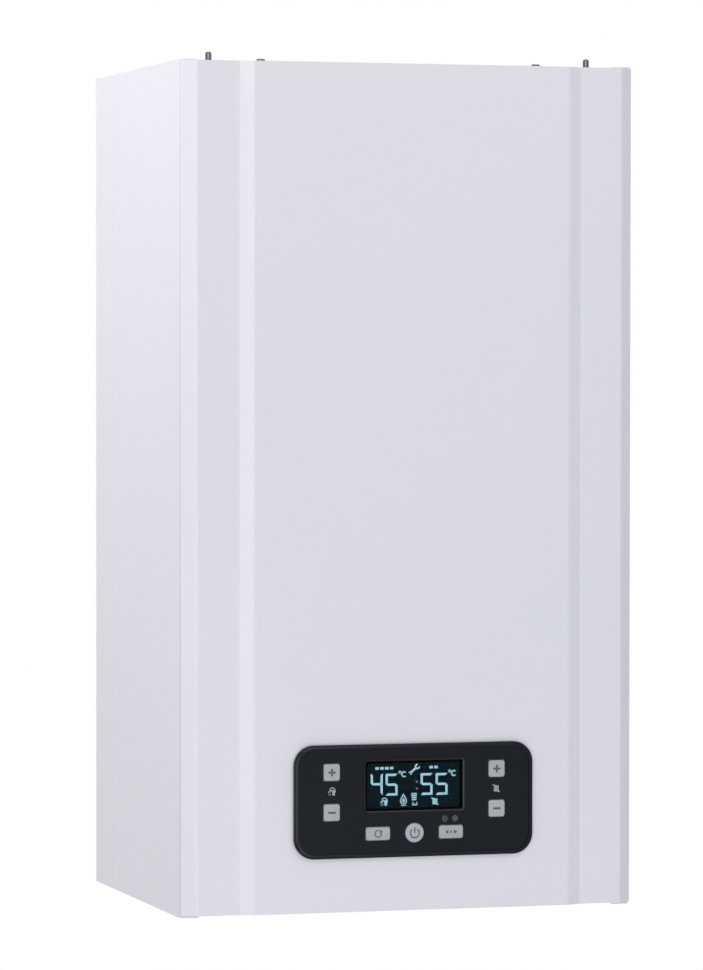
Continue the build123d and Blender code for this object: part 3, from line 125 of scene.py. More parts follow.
def lay_floor():
    """A plain pale floor well below the hanging boiler, which still takes its shadow.

    From below it is clear, so a low camera still sees the boiler.
    """
    mesh = bpy.data.meshes.new("floor")
    reach, level, glow = 4.5, -2.4, 0.5
    corners = [(-reach, -reach, level), (reach, -reach, level), (reach, reach, level), (-reach, reach, level)]
    mesh.from_pydata(corners, [], [(0, 1, 2, 3)])
    floor = bpy.data.objects.new("floor", mesh)
    bpy.context.scene.collection.objects.link(floor)
    material = bpy.data.materials.new("pale_floor")
    material.use_nodes = True
    tree = material.node_tree
    tree.nodes.clear()
    out = tree.nodes.new("ShaderNodeOutputMaterial")
    matt = tree.nodes.new("ShaderNodeBsdfDiffuse")
    matt.inputs["Color"].default_value = (0.78, 0.78, 0.79, 1.0)
    lift = tree.nodes.new("ShaderNodeEmission")
    lift.inputs["Color"].default_value = (1.0, 1.0, 1.0, 1.0)
    amount = tree.nodes.new("ShaderNodeMath")
    amount.operation = "MULTIPLY"
    amount.inputs[1].default_value = glow
    tree.links.new(seen_rays(tree), amount.inputs[0])
    tree.links.new(amount.outputs[0], lift.inputs["Strength"])
    top = tree.nodes.new("ShaderNodeAddShader")
    tree.links.new(matt.outputs[0], top.inputs[0])
    tree.links.new(lift.outputs[0], top.inputs[1])
    side = tree.nodes.new("ShaderNodeNewGeometry")
    clear = tree.nodes.new("ShaderNodeBsdfTransparent")
    surface = either(tree, side.outputs["Backfacing"], top.outputs[0], clear.outputs[0])
    tree.links.new(surface, out.inputs["Surface"])
    mesh.materials.append(material)


# ---------------------------------------------------------------- finishes
# Most of a noise pattern lies between these values, so a range is spread between them.
NOISE_LOW, NOISE_HIGH = 0.3, 0.7

# Where a Mix node keeps its colours: two going in, and the one that comes out.
COLOUR_FIRST, COLOUR_SECOND, COLOUR_RESULT = 6, 7, 2


class Finish:
    """A surface finish: one shader, and the patterns that give it its grain."""

    def __init__(self, name, metallic=0.0, roughness=0.5, **sockets):
        """A plain finish, with any of the shader's sockets set by name."""
        self.material = bpy.data.materials.new(name)
        self.material.use_nodes = True
        self.tree = self.material.node_tree
        self.shader = next(n for n in self.tree.nodes if n.type == "BSDF_PRINCIPLED")
        self.shader.inputs["Metallic"].default_value = metallic
        self.shader.inputs["Roughness"].default_value = roughness
        for socket, value in sockets.items():
            self.shader.inputs[socket.replace("_", " ")].default_value = value
        self.place = self.add("ShaderNodeTexCoord").outputs["Object"]

    def add(self, kind, **settings):
        """A node with its settings and unlinked inputs."""
        node = self.tree.nodes.new(kind)
        for key, value in settings.items():
            if hasattr(node, key):
                setattr(node, key, value)
            else:
                node.inputs[key.replace("_", " ")].default_value = value
        return node

    def join(self, source, target):
        """Links one socket to another."""
        self.tree.links.new(source, target)

    def stretched(self, scale):
        """Object coordinates stretched along an axis, for drawn or brushed metal."""
        mapping = self.add("ShaderNodeMapping")
        mapping.inputs["Scale"].default_value = scale
        self.join(self.place, mapping.inputs["Vector"])
        return mapping.outputs["Vector"]

    def noise(self, scale, detail=3.0, place=None):
        """Cloudy noise from 0 to 1 at a scale in features per metre."""
        node = self.add("ShaderNodeTexNoise", Scale=scale, Detail=detail)
        self.join(place or self.place, node.inputs["Vector"])
        return node.outputs["Fac"]

    def spangle(self, scale):
        """Flat crystal patches, as on galvanised sheet."""
        node = self.add("ShaderNodeTexVoronoi", Scale=scale)
        self.join(self.place, node.inputs["Vector"])
        grey = self.add("ShaderNodeRGBToBW")
        self.join(node.outputs["Color"], grey.inputs["Color"])
        return grey.outputs["Val"]

    def ramp(self, value, low, high, start=NOISE_LOW, stop=NOISE_HIGH):
        """A value turned into a colour between two."""
        node = self.add("ShaderNodeValToRGB")
        node.color_ramp.elements[0].position = start
        node.color_ramp.elements[0].color = (*low, 1.0)
        node.color_ramp.elements[1].position = stop
        node.color_ramp.elements[1].color = (*high, 1.0)
        self.join(value, node.inputs["Fac"])
        return node.outputs["Color"]

    def span(self, value, low, high):
        """A value moved into a range."""
        node = self.add("ShaderNodeMapRange")
        node.inputs["From Min"].default_value = NOISE_LOW
        node.inputs["From Max"].default_value = NOISE_HIGH
        node.inputs["To Min"].default_value = low
        node.inputs["To Max"].default_value = high
        self.join(value, node.inputs["Value"])
        return node.outputs["Result"]

    def colour(self, source):
        """Sets the surface's colour."""
        self.join(source, self.shader.inputs["Base Color"])

    def rough(self, value, low, high):
        """Sets the roughness, from a pattern moved into a range."""
        self.join(self.span(value, low, high), self.shader.inputs["Roughness"])

    def bump(self, height, depth, strength):
        """Fine relief of a depth in metres."""
        node = self.add("ShaderNodeBump")
        node.inputs["Strength"].default_value = strength
        node.inputs["Distance"].default_value = depth
        self.join(height, node.inputs["Height"])
        self.join(node.outputs["Normal"], self.shader.inputs["Normal"])

    def band(self, axis, low, high):
        """One between two places along an axis, in metres, and nought elsewhere."""
        parts = self.add("ShaderNodeSeparateXYZ")
        self.join(self.place, parts.inputs["Vector"])
        steps = []
        for operation, limit in (("GREATER_THAN", low), ("LESS_THAN", high)):
            step = self.add("ShaderNodeMath", operation=operation)
            step.inputs[1].default_value = limit
            self.join(parts.outputs[axis], step.inputs[0])
            steps.append(step.outputs[0])
        both = self.add("ShaderNodeMath", operation="MULTIPLY")
        self.join(steps[0], both.inputs[0])
        self.join(steps[1], both.inputs[1])
        return both.outputs[0]

    def choose(self, factor, first, second):
        """One colour where the factor is nought, another where it is one."""
        node = self.add("ShaderNodeMix", data_type="RGBA")
        self.join(factor, node.inputs[0])
        self.join(first, node.inputs[COLOUR_FIRST])
        self.join(second, node.inputs[COLOUR_SECOND])
        return node.outputs[COLOUR_RESULT]


def powder_coat(name, low, high):
    """White powder coat: even, faintly orange-peeled, with a soft shine."""
    finish = Finish(name, roughness=0.35, Specular_IOR_Level=0.5)
    finish.colour(finish.ramp(finish.noise(2.2), low, high))
    finish.rough(finish.noise(60.0), 0.32, 0.38)
    finish.bump(finish.noise(420.0, 2.0), 0.00004, 0.6)
    return finish.material


def galvanised(name, low, high):
    """Galvanised sheet with its fine crystal pattern and rolling marks."""
    finish = Finish(name, metallic=0.75)
    crystals = finish.spangle(260.0)
    finish.colour(finish.ramp(crystals, low, high, 0.1, 0.9))
    finish.rough(crystals, 0.46, 0.58)
    finish.bump(finish.noise(500.0, place=finish.stretched((1.0, 1.0, 0.05))), 0.00003, 0.5)
    return finish.material


def plain_metal(name, low, high, rough, along=(1.0, 1.0, 1.0), grain=700.0, depth=0.00004):
    """Turned, drawn or pressed metal, its grain drawn out along an axis."""
    finish = Finish(name, metallic=1.0)
    lines = finish.noise(grain, 4.0, finish.stretched(along))
    finish.colour(finish.ramp(finish.noise(25.0), low, high))
    finish.rough(lines, *rough)
    finish.bump(lines, depth, 0.6)
    return finish.material


def cast_brass(name):
    """Sand-cast brass with its slightly rough skin."""
    finish = Finish(name, metallic=1.0)
    skin = finish.noise(320.0, 5.0)
    finish.colour(finish.ramp(finish.noise(30.0), (0.50, 0.33, 0.13), (0.66, 0.47, 0.22)))
    finish.rough(skin, 0.3, 0.48)
    finish.bump(skin, 0.00012, 0.7)
    return finish.material


def heated_steel(name):
    """Stainless steel with straw and blue heat tints from the flames."""
    finish = Finish(name, metallic=1.0)
    tint = finish.noise(14.0, 2.0)
    finish.colour(finish.ramp(tint, (0.40, 0.38, 0.42), (0.62, 0.55, 0.42)))
    finish.rough(finish.noise(600.0, place=finish.stretched((1.0, 0.05, 1.0))), 0.24, 0.4)
    return finish.material


def moulding(name, low, high, rough=(0.45, 0.6), texture=900.0, depth=0.00005, **sockets):
    """Moulded plastic or rubber with a fine spark-eroded texture."""
    finish = Finish(name, **sockets)
    grain = finish.noise(texture, 2.0)
    finish.colour(finish.ramp(finish.noise(18.0), low, high))
    finish.rough(grain, *rough)
    finish.bump(grain, depth, 0.5)
    return finish.material


def enamel(name, low, high):
    """Stove enamel with a slight flow and dust."""
    finish = Finish(name, Coat_Weight=0.3, Coat_Roughness=0.15)
    finish.colour(finish.ramp(finish.noise(9.0), low, high))
    finish.rough(finish.noise(140.0), 0.28, 0.4)
    finish.bump(finish.noise(240.0, 2.0), 0.00006, 0.5)
    return finish.material


def fibre_board(name):
    """Ceramic fibre board: off-white, soft and dusty."""
    finish = Finish(name, roughness=0.95)
    fibres = finish.noise(380.0, 6.0, finish.stretched((1.0, 1.0, 4.0)))
    finish.colour(finish.ramp(fibres, (0.62, 0.58, 0.50), (0.80, 0.77, 0.70)))
    finish.bump(fibres, 0.0004, 0.8)
    return finish.material


def circuit_board(name):
    """Green solder resist with the faint relief of copper tracks."""
    finish = Finish(name, roughness=0.35)
    tracks = finish.spangle(260.0)
    finish.colour(finish.ramp(tracks, (0.006, 0.075, 0.03), (0.012, 0.12, 0.045), 0.4, 0.6))
    finish.bump(tracks, 0.00003, 0.5)
    return finish.material


def valve_metal(name, split):
    """Cast aluminium valve body with black coils in front of its face."""
    finish = Finish(name)
    skin = finish.noise(300.0, 4.0)
    coils = finish.band("Y", -1.0, split)
    metal = finish.ramp(finish.noise(30.0), (0.50, 0.50, 0.51), (0.62, 0.62, 0.63))
    black = finish.ramp(skin, (0.012, 0.012, 0.013), (0.022, 0.022, 0.024))
    finish.colour(finish.choose(coils, metal, black))
    turn = finish.add("ShaderNodeMapRange")
    turn.inputs["To Min"].default_value = 1.0
    turn.inputs["To Max"].default_value = 0.0
    finish.join(coils, turn.inputs["Value"])
    finish.join(turn.outputs["Result"], finish.shader.inputs["Metallic"])
    finish.rough(skin, 0.38, 0.55)
    finish.bump(skin, 0.0001, 0.6)
    return finish.material


def spark_parts(name, split):
    """White glazed ceramic sleeves with steel rods behind them."""
    finish = Finish(name, roughness=0.25)
    rods = finish.band("Y", split, 1.0)
    glaze = finish.ramp(finish.noise(40.0), (0.78, 0.76, 0.72), (0.88, 0.87, 0.84))
    steel = finish.ramp(finish.noise(200.0), (0.3, 0.28, 0.26), (0.45, 0.43, 0.4))
    finish.colour(finish.choose(rods, glaze, steel))
    finish.join(rods, finish.shader.inputs["Metallic"])
    return finish.material


def window_glass(name):
    """Smoke-tinted clear window, with the faintest ripple of moulding."""
    finish = Finish(name, roughness=0.03, Transmission_Weight=1.0, IOR=1.11)
    finish.colour(finish.ramp(finish.noise(30.0), (0.72, 0.80, 0.83), (0.78, 0.86, 0.88)))
    finish.bump(finish.noise(60.0, 1.0), 0.000004, 0.4)
    return finish.material


def dark_display(name):
    """The unlit display: near black, with the faint grid of its cells, sized in millimetres."""
    finish = Finish(name, roughness=0.4, Specular_IOR_Level=0.02)
    cell, gap = (0.0012, 0.0085, 0.0115, 1.0), (0.0008, 0.0062, 0.0085, 1.0)
    cells = finish.add("ShaderNodeTexBrick", Scale=1.0, offset=0.0, Color1=cell, Color2=cell, Mortar=gap,
                       Brick_Width=0.5, Row_Height=0.5, Mortar_Size=0.06)
    turned = finish.add("ShaderNodeMapping", vector_type="POINT")
    turned.inputs["Rotation"].default_value = (pi / 2, 0.0, 0.0)
    turned.inputs["Scale"].default_value = [1.0 / MM] * 3
    finish.join(finish.place, turned.inputs["Vector"])
    finish.join(turned.outputs["Vector"], cells.inputs["Vector"])
    finish.colour(cells.outputs["Color"])
    return finish.material


def display_glow(name, dim, bright, strength):
    """Lit cells of the display: cyan, a touch uneven from cell to cell."""
    finish = Finish(name, roughness=0.4, Specular_IOR_Level=0.1)
    cells = finish.noise(170.0, 2.0)
    finish.join(finish.ramp(cells, dim, bright), finish.shader.inputs["Emission Color"])
    finish.shader.inputs["Emission Strength"].default_value = strength
    finish.colour(finish.ramp(cells, (0.02, 0.05, 0.06), (0.03, 0.06, 0.07)))
    return finish.material


def ink_and_painted_shade(name, low, high):
    """Screen-printed ink, slightly uneven at its edges; the same finish also paints the shade in the screw
    recesses.
    """
    finish = Finish(name, roughness=0.55)
    finish.colour(finish.ramp(finish.noise(900.0, 4.0), low, high))
    finish.bump(finish.noise(1500.0), 0.00001, 0.5)
    return finish.material


# ---------------------------------------------------------------- flat artwork on the control panel
# Shapes of one artwork that overlap end at heights a hair apart, so that no two faces share a plane.
LAYER_STEP, LAYERS = 0.004, 5

# The depths y of the planes that signs lie on: the display's, the bezel's and the button caps'.
DISPLAY_PLANE, BEZEL_PLANE, CAP_PLANE = -329.5, -332.1, -333.4


class Artwork:
    """Thin raised shapes drawn on a plane that faces the front."""

    def __init__(self):
        """An empty artwork; each group of faces in it is raised as one shape."""
        self.faces = []

    def area(self, points):
        """A filled outline."""
        self.faces.append([list(points)])

    def box(self, left, right, low, high):
        """A filled rectangle."""
        self.area([(left, low), (right, low), (right, high), (left, high)])

    def disc(self, x, z, radius, steps):
        """A filled circle."""
        self.area(arc(x, z, radius, 0, 360, steps)[:-1])

    def band(self, inner, outer):
        """A strip between two lines of as many points."""
        quads = []
        for index in range(len(inner) - 1):
            quads.append([inner[index], inner[index + 1], outer[index + 1], outer[index]])
        self.faces.append(quads)

    def ring(self, x, z, radius, width, start=0, stop=360, steps=28):
        """Part of a ring, between two angles."""
        near = arc(x, z, radius - width / 2, start, stop, steps)
        far = arc(x, z, radius + width / 2, start, stop, steps)
        self.band(near, far)

    def stroke(self, points, width):
        """A line of constant width with mitred corners, which are held short where it turns sharply."""
        sharpest = 0.35
        near, far = [], []
        for index, point in enumerate(points):
            before = Vector(points[max(index - 1, 0)])
            after = Vector(points[min(index + 1, len(points) - 1)])
            here = Vector(point)
            first = (here - before).normalized() if index else (after - here).normalized()
            last = (after - here).normalized() if index < len(points) - 1 else first
            bisector = (first + last).normalized()
            side = Vector((-bisector.y, bisector.x)) * (width / 2 / max(bisector.dot(first), sharpest))
            near.append(tuple(here - side))
            far.append(tuple(here + side))
        self.band(near, far)

    def place(self, name, body, back, thickness, material):
        """The artwork as one piece, standing proud of a plane at a depth y."""
        mesh = bpy.data.meshes.new(name)
        shape = bmesh.new()
        for layer, group in enumerate(self.faces):
            height = thickness + LAYER_STEP * (layer % LAYERS)
            corners = {}
            skins = []
            for outline in group:
                ring = []
                for x, z in outline:
                    key = (round(x, 4), round(z, 4))
                    if key not in corners:
                        corners[key] = shape.verts.new((x * MM, back * MM, z * MM))
                    ring.append(corners[key])
                skins.append(shape.faces.new(ring))
            grown = bmesh.ops.extrude_face_region(shape, geom=skins, use_keep_orig=True)
            raised = [v for v in grown["geom"] if isinstance(v, bmesh.types.BMVert)]
            bmesh.ops.translate(shape, verts=raised, vec=(0, -height * MM, 0))
        bmesh.ops.recalc_face_normals(shape, faces=shape.faces)
        shape.to_mesh(mesh)
        shape.free()
        mesh.materials.append(material)
        piece = bpy.data.objects.new(name, mesh)
        bpy.context.scene.collection.objects.link(piece)
        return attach(piece, body)


def arc(x, z, radius, start, stop, steps):
    """Points along an arc; angles are in degrees from the right, turning up."""
    angles = [radians(start + (stop - start) * index / steps) for index in range(steps + 1)]
    return [(x + radius * cos(a), z + radius * sin(a)) for a in angles]


# The bars that each digit lights: a across the top, b and c down the right, d across the foot,
# f at the upper left and g across the middle.
SEGMENTS = {"4": "bcfg", "5": "acdfg"}


def draw_digit(art, digit, left, low, width, height, bar):
    """A digit of upright and level bars that nearly meet at their mitred ends."""
    right, high, middle = left + width, low + height, low + height / 2
    half, gap = bar / 2, 0.14
    nose = half * 0.4
    outlines = {
        "a": [(left + gap, high), (right - gap, high), (right - bar, high - bar), (left + bar, high - bar)],
        "b": [(right, high - gap), (right, middle + gap), (right - half, middle + nose),
              (right - bar, middle + half), (right - bar, high - bar)],
        "c": [(right, middle - gap), (right, low + gap), (right - bar, low + bar),
              (right - bar, middle - half), (right - half, middle - nose)],
        "d": [(left + gap, low), (right - gap, low), (right - bar, low + bar), (left + bar, low + bar)],
        "f": [(left, high - gap), (left + bar, high - bar), (left + bar, middle + half),
              (left + half, middle + nose), (left, middle + gap)],
        "g": [(left + half, middle), (left + bar, middle + half), (right - bar, middle + half),
              (right - half, middle), (right - bar, middle - half), (left + bar, middle - half)],
    }
    for name in SEGMENTS[digit]:
        art.area(outlines[name])


def draw_degrees(art, left, low):
    """The degree sign and its C, drawn as rings."""
    art.ring(left + 1.3, low + 4.5, 0.95, 0.7)
    art.ring(left + 5.1, low + 2.6, 2.1, 1.15, 48, 312)


def draw_tap(art, left, low, size):
    """A tap with a hooped handle, its spout to the left over falling drops."""
    unit = size / 7.0

    def at(x, z):
        """A place in the sign, which is drawn seven units wide."""
        return left + x * unit, low + z * unit

    art.ring(*at(4.0, 4.2), 2.4 * unit, 0.75 * unit, 20, 165, 14)
    spout = arc(*at(3.2, 2.6), 1.75 * unit, 175, 95, 6) + [at(4.4, 4.2)]
    art.stroke(spout, 0.95 * unit)
    art.area([at(4.1, 0.2), at(6.2, 0.2), at(6.2, 2.4), at(7.0, 3.6), at(6.6, 4.9), at(4.6, 4.7),
              at(3.9, 3.6)])
    for x, z in ((0.6, 3.1), (2.5, 1.6), (0.9, 1.5), (1.9, 0.5)):
        art.disc(*at(x, z), 0.38 * unit, 10)


def draw_radiator(art, left, low, width, height):
    """A radiator: ribs on a panel with a pipe at each end."""
    rib = width * 0.13
    start, stop = left + width * 0.2, left + width * 0.82
    for index in range(4):
        x = start + index * (stop - start - rib) / 3
        art.box(x, x + rib, low + height * 0.08, low + height * 0.9)
    for level in (0.2, 0.66):
        art.box(start, stop, low + height * level, low + height * (level + 0.12))
    art.box(left, left + width * 0.36, low + height * 0.88, low + height)
    art.box(left + width * 0.66, left + width, low, low + height * 0.12)


def draw_flame(art, x, low, height):
    """A pointed flame round a smaller one."""
    width = height * 0.36
    bulge = ((0.38, 0.78), (0.78, 0.52), (1.0, 0.3), (0.85, 0.1), (0.4, 0.0))

    def outline(scale, base):
        """The flame's outline at a scale, standing on a base."""
        right = [(x, base + height * scale)]
        right += [(x + width * scale * across, base + height * scale * up) for across, up in bulge]
        return right + [(2 * x - px, pz) for px, pz in reversed(right[1:])]

    outer, inner = outline(1.0, low), outline(0.68, low + 0.1 * height)
    art.band(outer + outer[:1], inner + inner[:1])
    art.area(outline(0.4, low + 0.18 * height))


def draw_level(art, left, low):
    """Stacked bars that show the flame's strength, over a small base."""
    for index in range(4):
        z = low + 4.3 + index * 1.7
        art.box(left + 0.5 - 0.2 * index, left + 4.6 + 0.15 * index, z, z + 1.2)
    art.ring(left + 3.4, low + 1.9, 1.75, 0.8, 150, 390, 16)
    art.box(left + 0.6, left + 5.6, low, low + 0.9)


def draw_spanner(art, low_x, low_z, high_x, high_z):
    """A slanted spanner, its jaws open at the top."""
    start, end = Vector((low_x, low_z)), Vector((high_x, high_z))
    along = (end - start).normalized()
    art.stroke([tuple(start + along * 2.2), tuple(end - along * 3.0)], 1.7)
    art.ring(*(start + along * 1.4), 1.1, 1.0, 270, 540)
    art.ring(*(end - along * 1.9), 1.75, 1.25, 85, 360)


def draw_sun(art, x, z, radius):
    """A sun: a ring with rays round it."""
    art.ring(x, z, radius * 0.42, radius * 0.2)
    for index in range(8):
        angle = radians(index * 45)
        near = (x + 0.66 * radius * cos(angle), z + 0.66 * radius * sin(angle))
        far = (x + radius * cos(angle), z + radius * sin(angle))
        art.stroke([near, far], radius * 0.17)


def draw_snow(art, x, z, radius):
    """A snowflake: three crossed bars with barbs."""
    for index in range(6):
        angle = radians(30 + index * 60)
        tip = Vector((cos(angle), sin(angle)))
        side = Vector((-tip.y, tip.x))
        middle = Vector((x, z))
        art.stroke([tuple(middle + tip * 0.06 * radius), tuple(middle + tip * radius)], radius * 0.17)
        for way in (-1, 1):
            root = middle + tip * radius * 0.55
            art.stroke([tuple(root), tuple(root + (tip + way * side) * radius * 0.28)], radius * 0.14)


def draw_circular_arrow(art, x, z, radius, width):
    """A nearly closed arrow for the reset button."""
    art.ring(x, z, radius, width, 75, 385)
    turn = radians(25)
    tip = Vector((x, z)) + radius * Vector((cos(turn), sin(turn)))
    ahead, out = Vector((-sin(turn), cos(turn))), Vector((cos(turn), sin(turn)))
    art.area([tuple(tip - out * 1.7), tuple(tip + out * 1.7), tuple(tip + ahead * 2.3)])


def draw_selector(art, x, z):
    """Two arrowheads either side of a dot for the selector button."""
    for way in (-1, 1):
        art.area([(x + way * 5.6, z), (x + way * 2.6, z - 1.9), (x + way * 2.6, z + 1.9)][:: way])
    art.disc(x, z, 1.0, 16)


# ---------------------------------------------------------------- the lit display
def light_display(glow, faint):
    """Temperatures and pictograms behind the window."""
    thick = 0.08
    temperatures = Artwork()
    digits = (("4", -39.0, -586.2), ("5", -25.5, -586.9), ("5", 6.4, -587.1), ("5", 20.1, -587.3))
    for digit, left, low in digits:
        draw_digit(temperatures, digit, left, low, width=10.9, height=19.0, bar=2.0)
    temperatures.place("display_temperatures", "cover", DISPLAY_PLANE, thick, glow)

    pictograms = Artwork()
    draw_degrees(pictograms, -13.7, -571.2)
    draw_degrees(pictograms, 31.7, -571.2)
    bar, pitch = 3.2, 4.4
    for left, count in ((-34.8, 4), (14.4, 2)):
        for index in range(count):
            x = left + index * pitch
            pictograms.box(x, x + bar, -564.1, -561.9)
    draw_spanner(pictograms, -4.1, -568.6, 4.9, -560.9)
    draw_tap(pictograms, -30.6, -595.8, 7.2)
    draw_flame(pictograms, -9.2, -594.3, 9.0)
    pictograms.box(-11.5, -6.9, -596.0, -595.1)
    draw_level(pictograms, -2.1, -595.8)
    draw_radiator(pictograms, 15.9, -595.9, 7.0, 6.2)
    pictograms.place("display_pictograms", "cover", DISPLAY_PLANE, thick, glow)

    dots = Artwork()
    for z in (-575.4, -581.3):
        dots.disc(3.0, z, 0.8, 14)
    dots.place("display_dots", "cover", DISPLAY_PLANE, thick, faint)


def print_panel(ink, faint_ink):
    """Pictograms printed on the bezel between the plus and minus buttons, and over the selector."""
    thick = 0.05
    prints = Artwork()
    draw_tap(prints, -78.6, -585.6, 7.3)
    draw_radiator(prints, 71.4, -585.9, 7.0, 6.4)
    prints.place("bezel_prints", "cover", BEZEL_PLANE, thick, ink)
    seasons = Artwork()
    draw_sun(seasons, 27.9, -607.9, 3.2)
    draw_snow(seasons, 37.2, -607.9, 2.9)
    seasons.place("season_prints", "cover", BEZEL_PLANE, thick, faint_ink)


def mark_buttons(ink):
    """The symbol on each button's cap, which moves with it."""
    thick, reach, half = 0.05, 3.4, 0.9
    for side, x in (("left", -75.1), ("right", 75.1)):
        plus = Artwork()
        plus.box(x - reach, x + reach, -566.2, -564.4)
        plus.box(x - half, x + half, -564.4, -561.9)
        plus.box(x - half, x + half, -568.7, -566.2)
        plus.place(f"plus_{side}_mark", f"plus_{side}_button", CAP_PLANE, thick, ink)
        minus = Artwork()
        minus.box(x - reach, x + reach, -601.05, -599.25)
        minus.place(f"minus_{side}_mark", f"minus_{side}_button", CAP_PLANE, thick, ink)
    x, z = 33.25, -619.55
    reset = Artwork()
    draw_circular_arrow(reset, -x, z, 2.9, 1.0)
    reset.place("reset_mark", "reset_button", CAP_PLANE, thick, ink)
    mode = Artwork()
    draw_selector(mode, x, z)
    mode.place("mode_mark", "mode_button", CAP_PLANE, thick, ink)
    power = Artwork()
    power.ring(0, -619.9, 4.0, 1.15, 125, 415)
    power.box(-0.6, 0.6, -619.6, -615.0)
    power.place("power_mark", "power_button", CAP_PLANE, thick, ink)


# ---------------------------------------------------------------- mouldings round the panel
# The bezel and its window as rounded rectangles: middle (x, z), half width and height, corner radius.
BEZEL = (0, -591.15), (108.5, 49.35), 18.0
WINDOW = (0, -578.3), (44.25, 21.75), 2.0

# A button cap's rounded edge: how far out of its side each point lies, and how far behind its face.
CAP_EDGE = (0, 0.75), (-0.06, 0.45), (-0.22, 0.2), (-0.45, 0.05), (-0.75, 0)


def wrap_round(name, body, middle, half_size, corner, section, material, solid=False):
    """A section carried round a rounded rectangle: a bead, or a solid with its ends closed.

    The section's points are how far out from the rectangle they lie, and their depth y.
    """
    corner_steps, touching = 10, 0.0000001
    shape = bmesh.new()
    rings = []
    for out, depth in section:
        line = []
        for side_x, side_z, start in ((1, 1, 0), (-1, 1, 90), (-1, -1, 180), (1, -1, 270)):
            x = middle[0] + side_x * (half_size[0] - corner)
            z = middle[1] + side_z * (half_size[1] - corner)
            line += arc(x, z, corner + out, start, start + 90, corner_steps)
        rings.append([shape.verts.new((x * MM, depth * MM, z * MM)) for x, z in line])
    pairs = list(zip(rings, rings[1:]))
    if solid:
        shape.faces.new(rings[0])
        shape.faces.new(rings[-1])
    else:
        pairs.append((rings[-1], rings[0]))
    for near, far in pairs:
        for index in range(len(near)):
            after = (index + 1) % len(near)
            shape.faces.new((near[index], near[after], far[after], far[index]))
    bmesh.ops.remove_doubles(shape, verts=shape.verts, dist=touching)
    return finish_mesh(name, body, shape, material)


def finish_mesh(name, body, shape, material):
    """Turns a built shape into a smooth piece that rides on its body."""
    bmesh.ops.recalc_face_normals(shape, faces=shape.faces)
    mesh = bpy.data.meshes.new(name)
    shape.to_mesh(mesh)
    shape.free()
    mesh.materials.append(material)
    mesh.shade_smooth()
    mesh.set_sharp_from_angle(angle=radians(32))
    piece = bpy.data.objects.new(name, mesh)
    bpy.context.scene.collection.objects.link(piece)
    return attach(piece, body)


def mould_caps():
    """Softly rounded button caps on their retaining lips, with a shadow gap round each."""
    lip, reveal, lip_thickness, square_corner = 1.2, 0.3, 1, 2.2
    names = ("plus_left", "minus_left", "plus_right", "minus_right", "reset", "mode", "power")
    for name in [first + "_button" for first in names]:
        low, high = [[value / MM for value in corner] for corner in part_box(name)]
        middle = ((low[0] + high[0]) / 2, (low[2] + high[2]) / 2)
        half_size = ((high[0] - low[0]) / 2 - lip - reveal, (high[2] - low[2]) / 2 - lip - reveal)
        radius = min(half_size) if name == "power_button" else square_corner
        back, face = high[1], low[1]
        section = [(lip + reveal, back), (lip + reveal, back - lip_thickness), (0, back - lip_thickness)]
        section += [(out, face + behind) for out, behind in CAP_EDGE]
        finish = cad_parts[name].data.materials[0]
        cap = wrap_round(name + "_cap", name, middle, half_size, radius, section, finish, solid=True)
        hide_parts(name)


def trim_panel(material):
    """The bezel's sloped rim and the low bead round its window."""
    rim = [(-1.4, -332.9), (-1.45, -333.02), (-3.25, -333.6), (-3.42, -333.6), (-3.55, -333.45),
           (-3.55, -332.0)]
    wrap_round("bezel_rim", "cover", *BEZEL, rim, material)
    bead = [(0.0, -331.7), (0.02, -332.16), (1.25, -332.72), (1.5, -332.74), (1.68, -332.62),
            (1.75, -332.0)]
    wrap_round("window_surround", "cover", *WINDOW, bead, material)


def shade_seams(material):
    """A grey strip down each seam between the cover and the side panels, standing out of the groove: painted
    shade for the dark line there.
    """
    bottom, top = -687, 48
    section = [(204.9, -312.12), (204.97, -311.95), (204.95, -311.35), (204.6, -311.0), (203.4, -310.9),
               (203.4, -312.12)]
    for side, way in (("left", -1), ("right", 1)):
        shape = bmesh.new()
        foot, head = [[shape.verts.new((way * x * MM, y * MM, z * MM)) for x, y in section]
                      for z in (bottom, top)]
        shape.faces.new(foot)
        shape.faces.new(head)
        for index in range(len(section)):
            after = (index + 1) % len(section)
            shape.faces.new((foot[index], foot[after], head[after], head[index]))
        finish_mesh(f"seam_shade_{side}", "boiler", shape, material)


# ---------------------------------------------------------------- painted shade of the screw recesses, and threads
def socket_id(tree, name):
    """The identifier of a tree's named input."""
    return next(item.identifier for item in tree.interface.items_tree
                if item.item_type == "SOCKET" and item.in_out == "INPUT" and item.name == name)


def repeating_tree(name, inputs, material):
    """A node tree with named inputs that ends in realised instances and its material."""
    tree = bpy.data.node_groups.new(name, "GeometryNodeTree")
    tree.interface.new_socket("Geometry", in_out="INPUT", socket_type="NodeSocketGeometry")
    for label, (kind, value) in inputs.items():
        tree.interface.new_socket(label, in_out="INPUT", socket_type=kind).default_value = value
    tree.interface.new_socket("Geometry", in_out="OUTPUT", socket_type="NodeSocketGeometry")
    start = tree.nodes.new("NodeGroupInput")
    end = tree.nodes.new("NodeGroupOutput")
    real = tree.nodes.new("GeometryNodeRealizeInstances")
    paint = tree.nodes.new("GeometryNodeSetMaterial")
    paint.inputs["Material"].default_value = material
    tree.links.new(real.outputs["Geometry"], paint.inputs["Geometry"])
    tree.links.new(paint.outputs["Geometry"], end.inputs[0])
    return tree, start, real


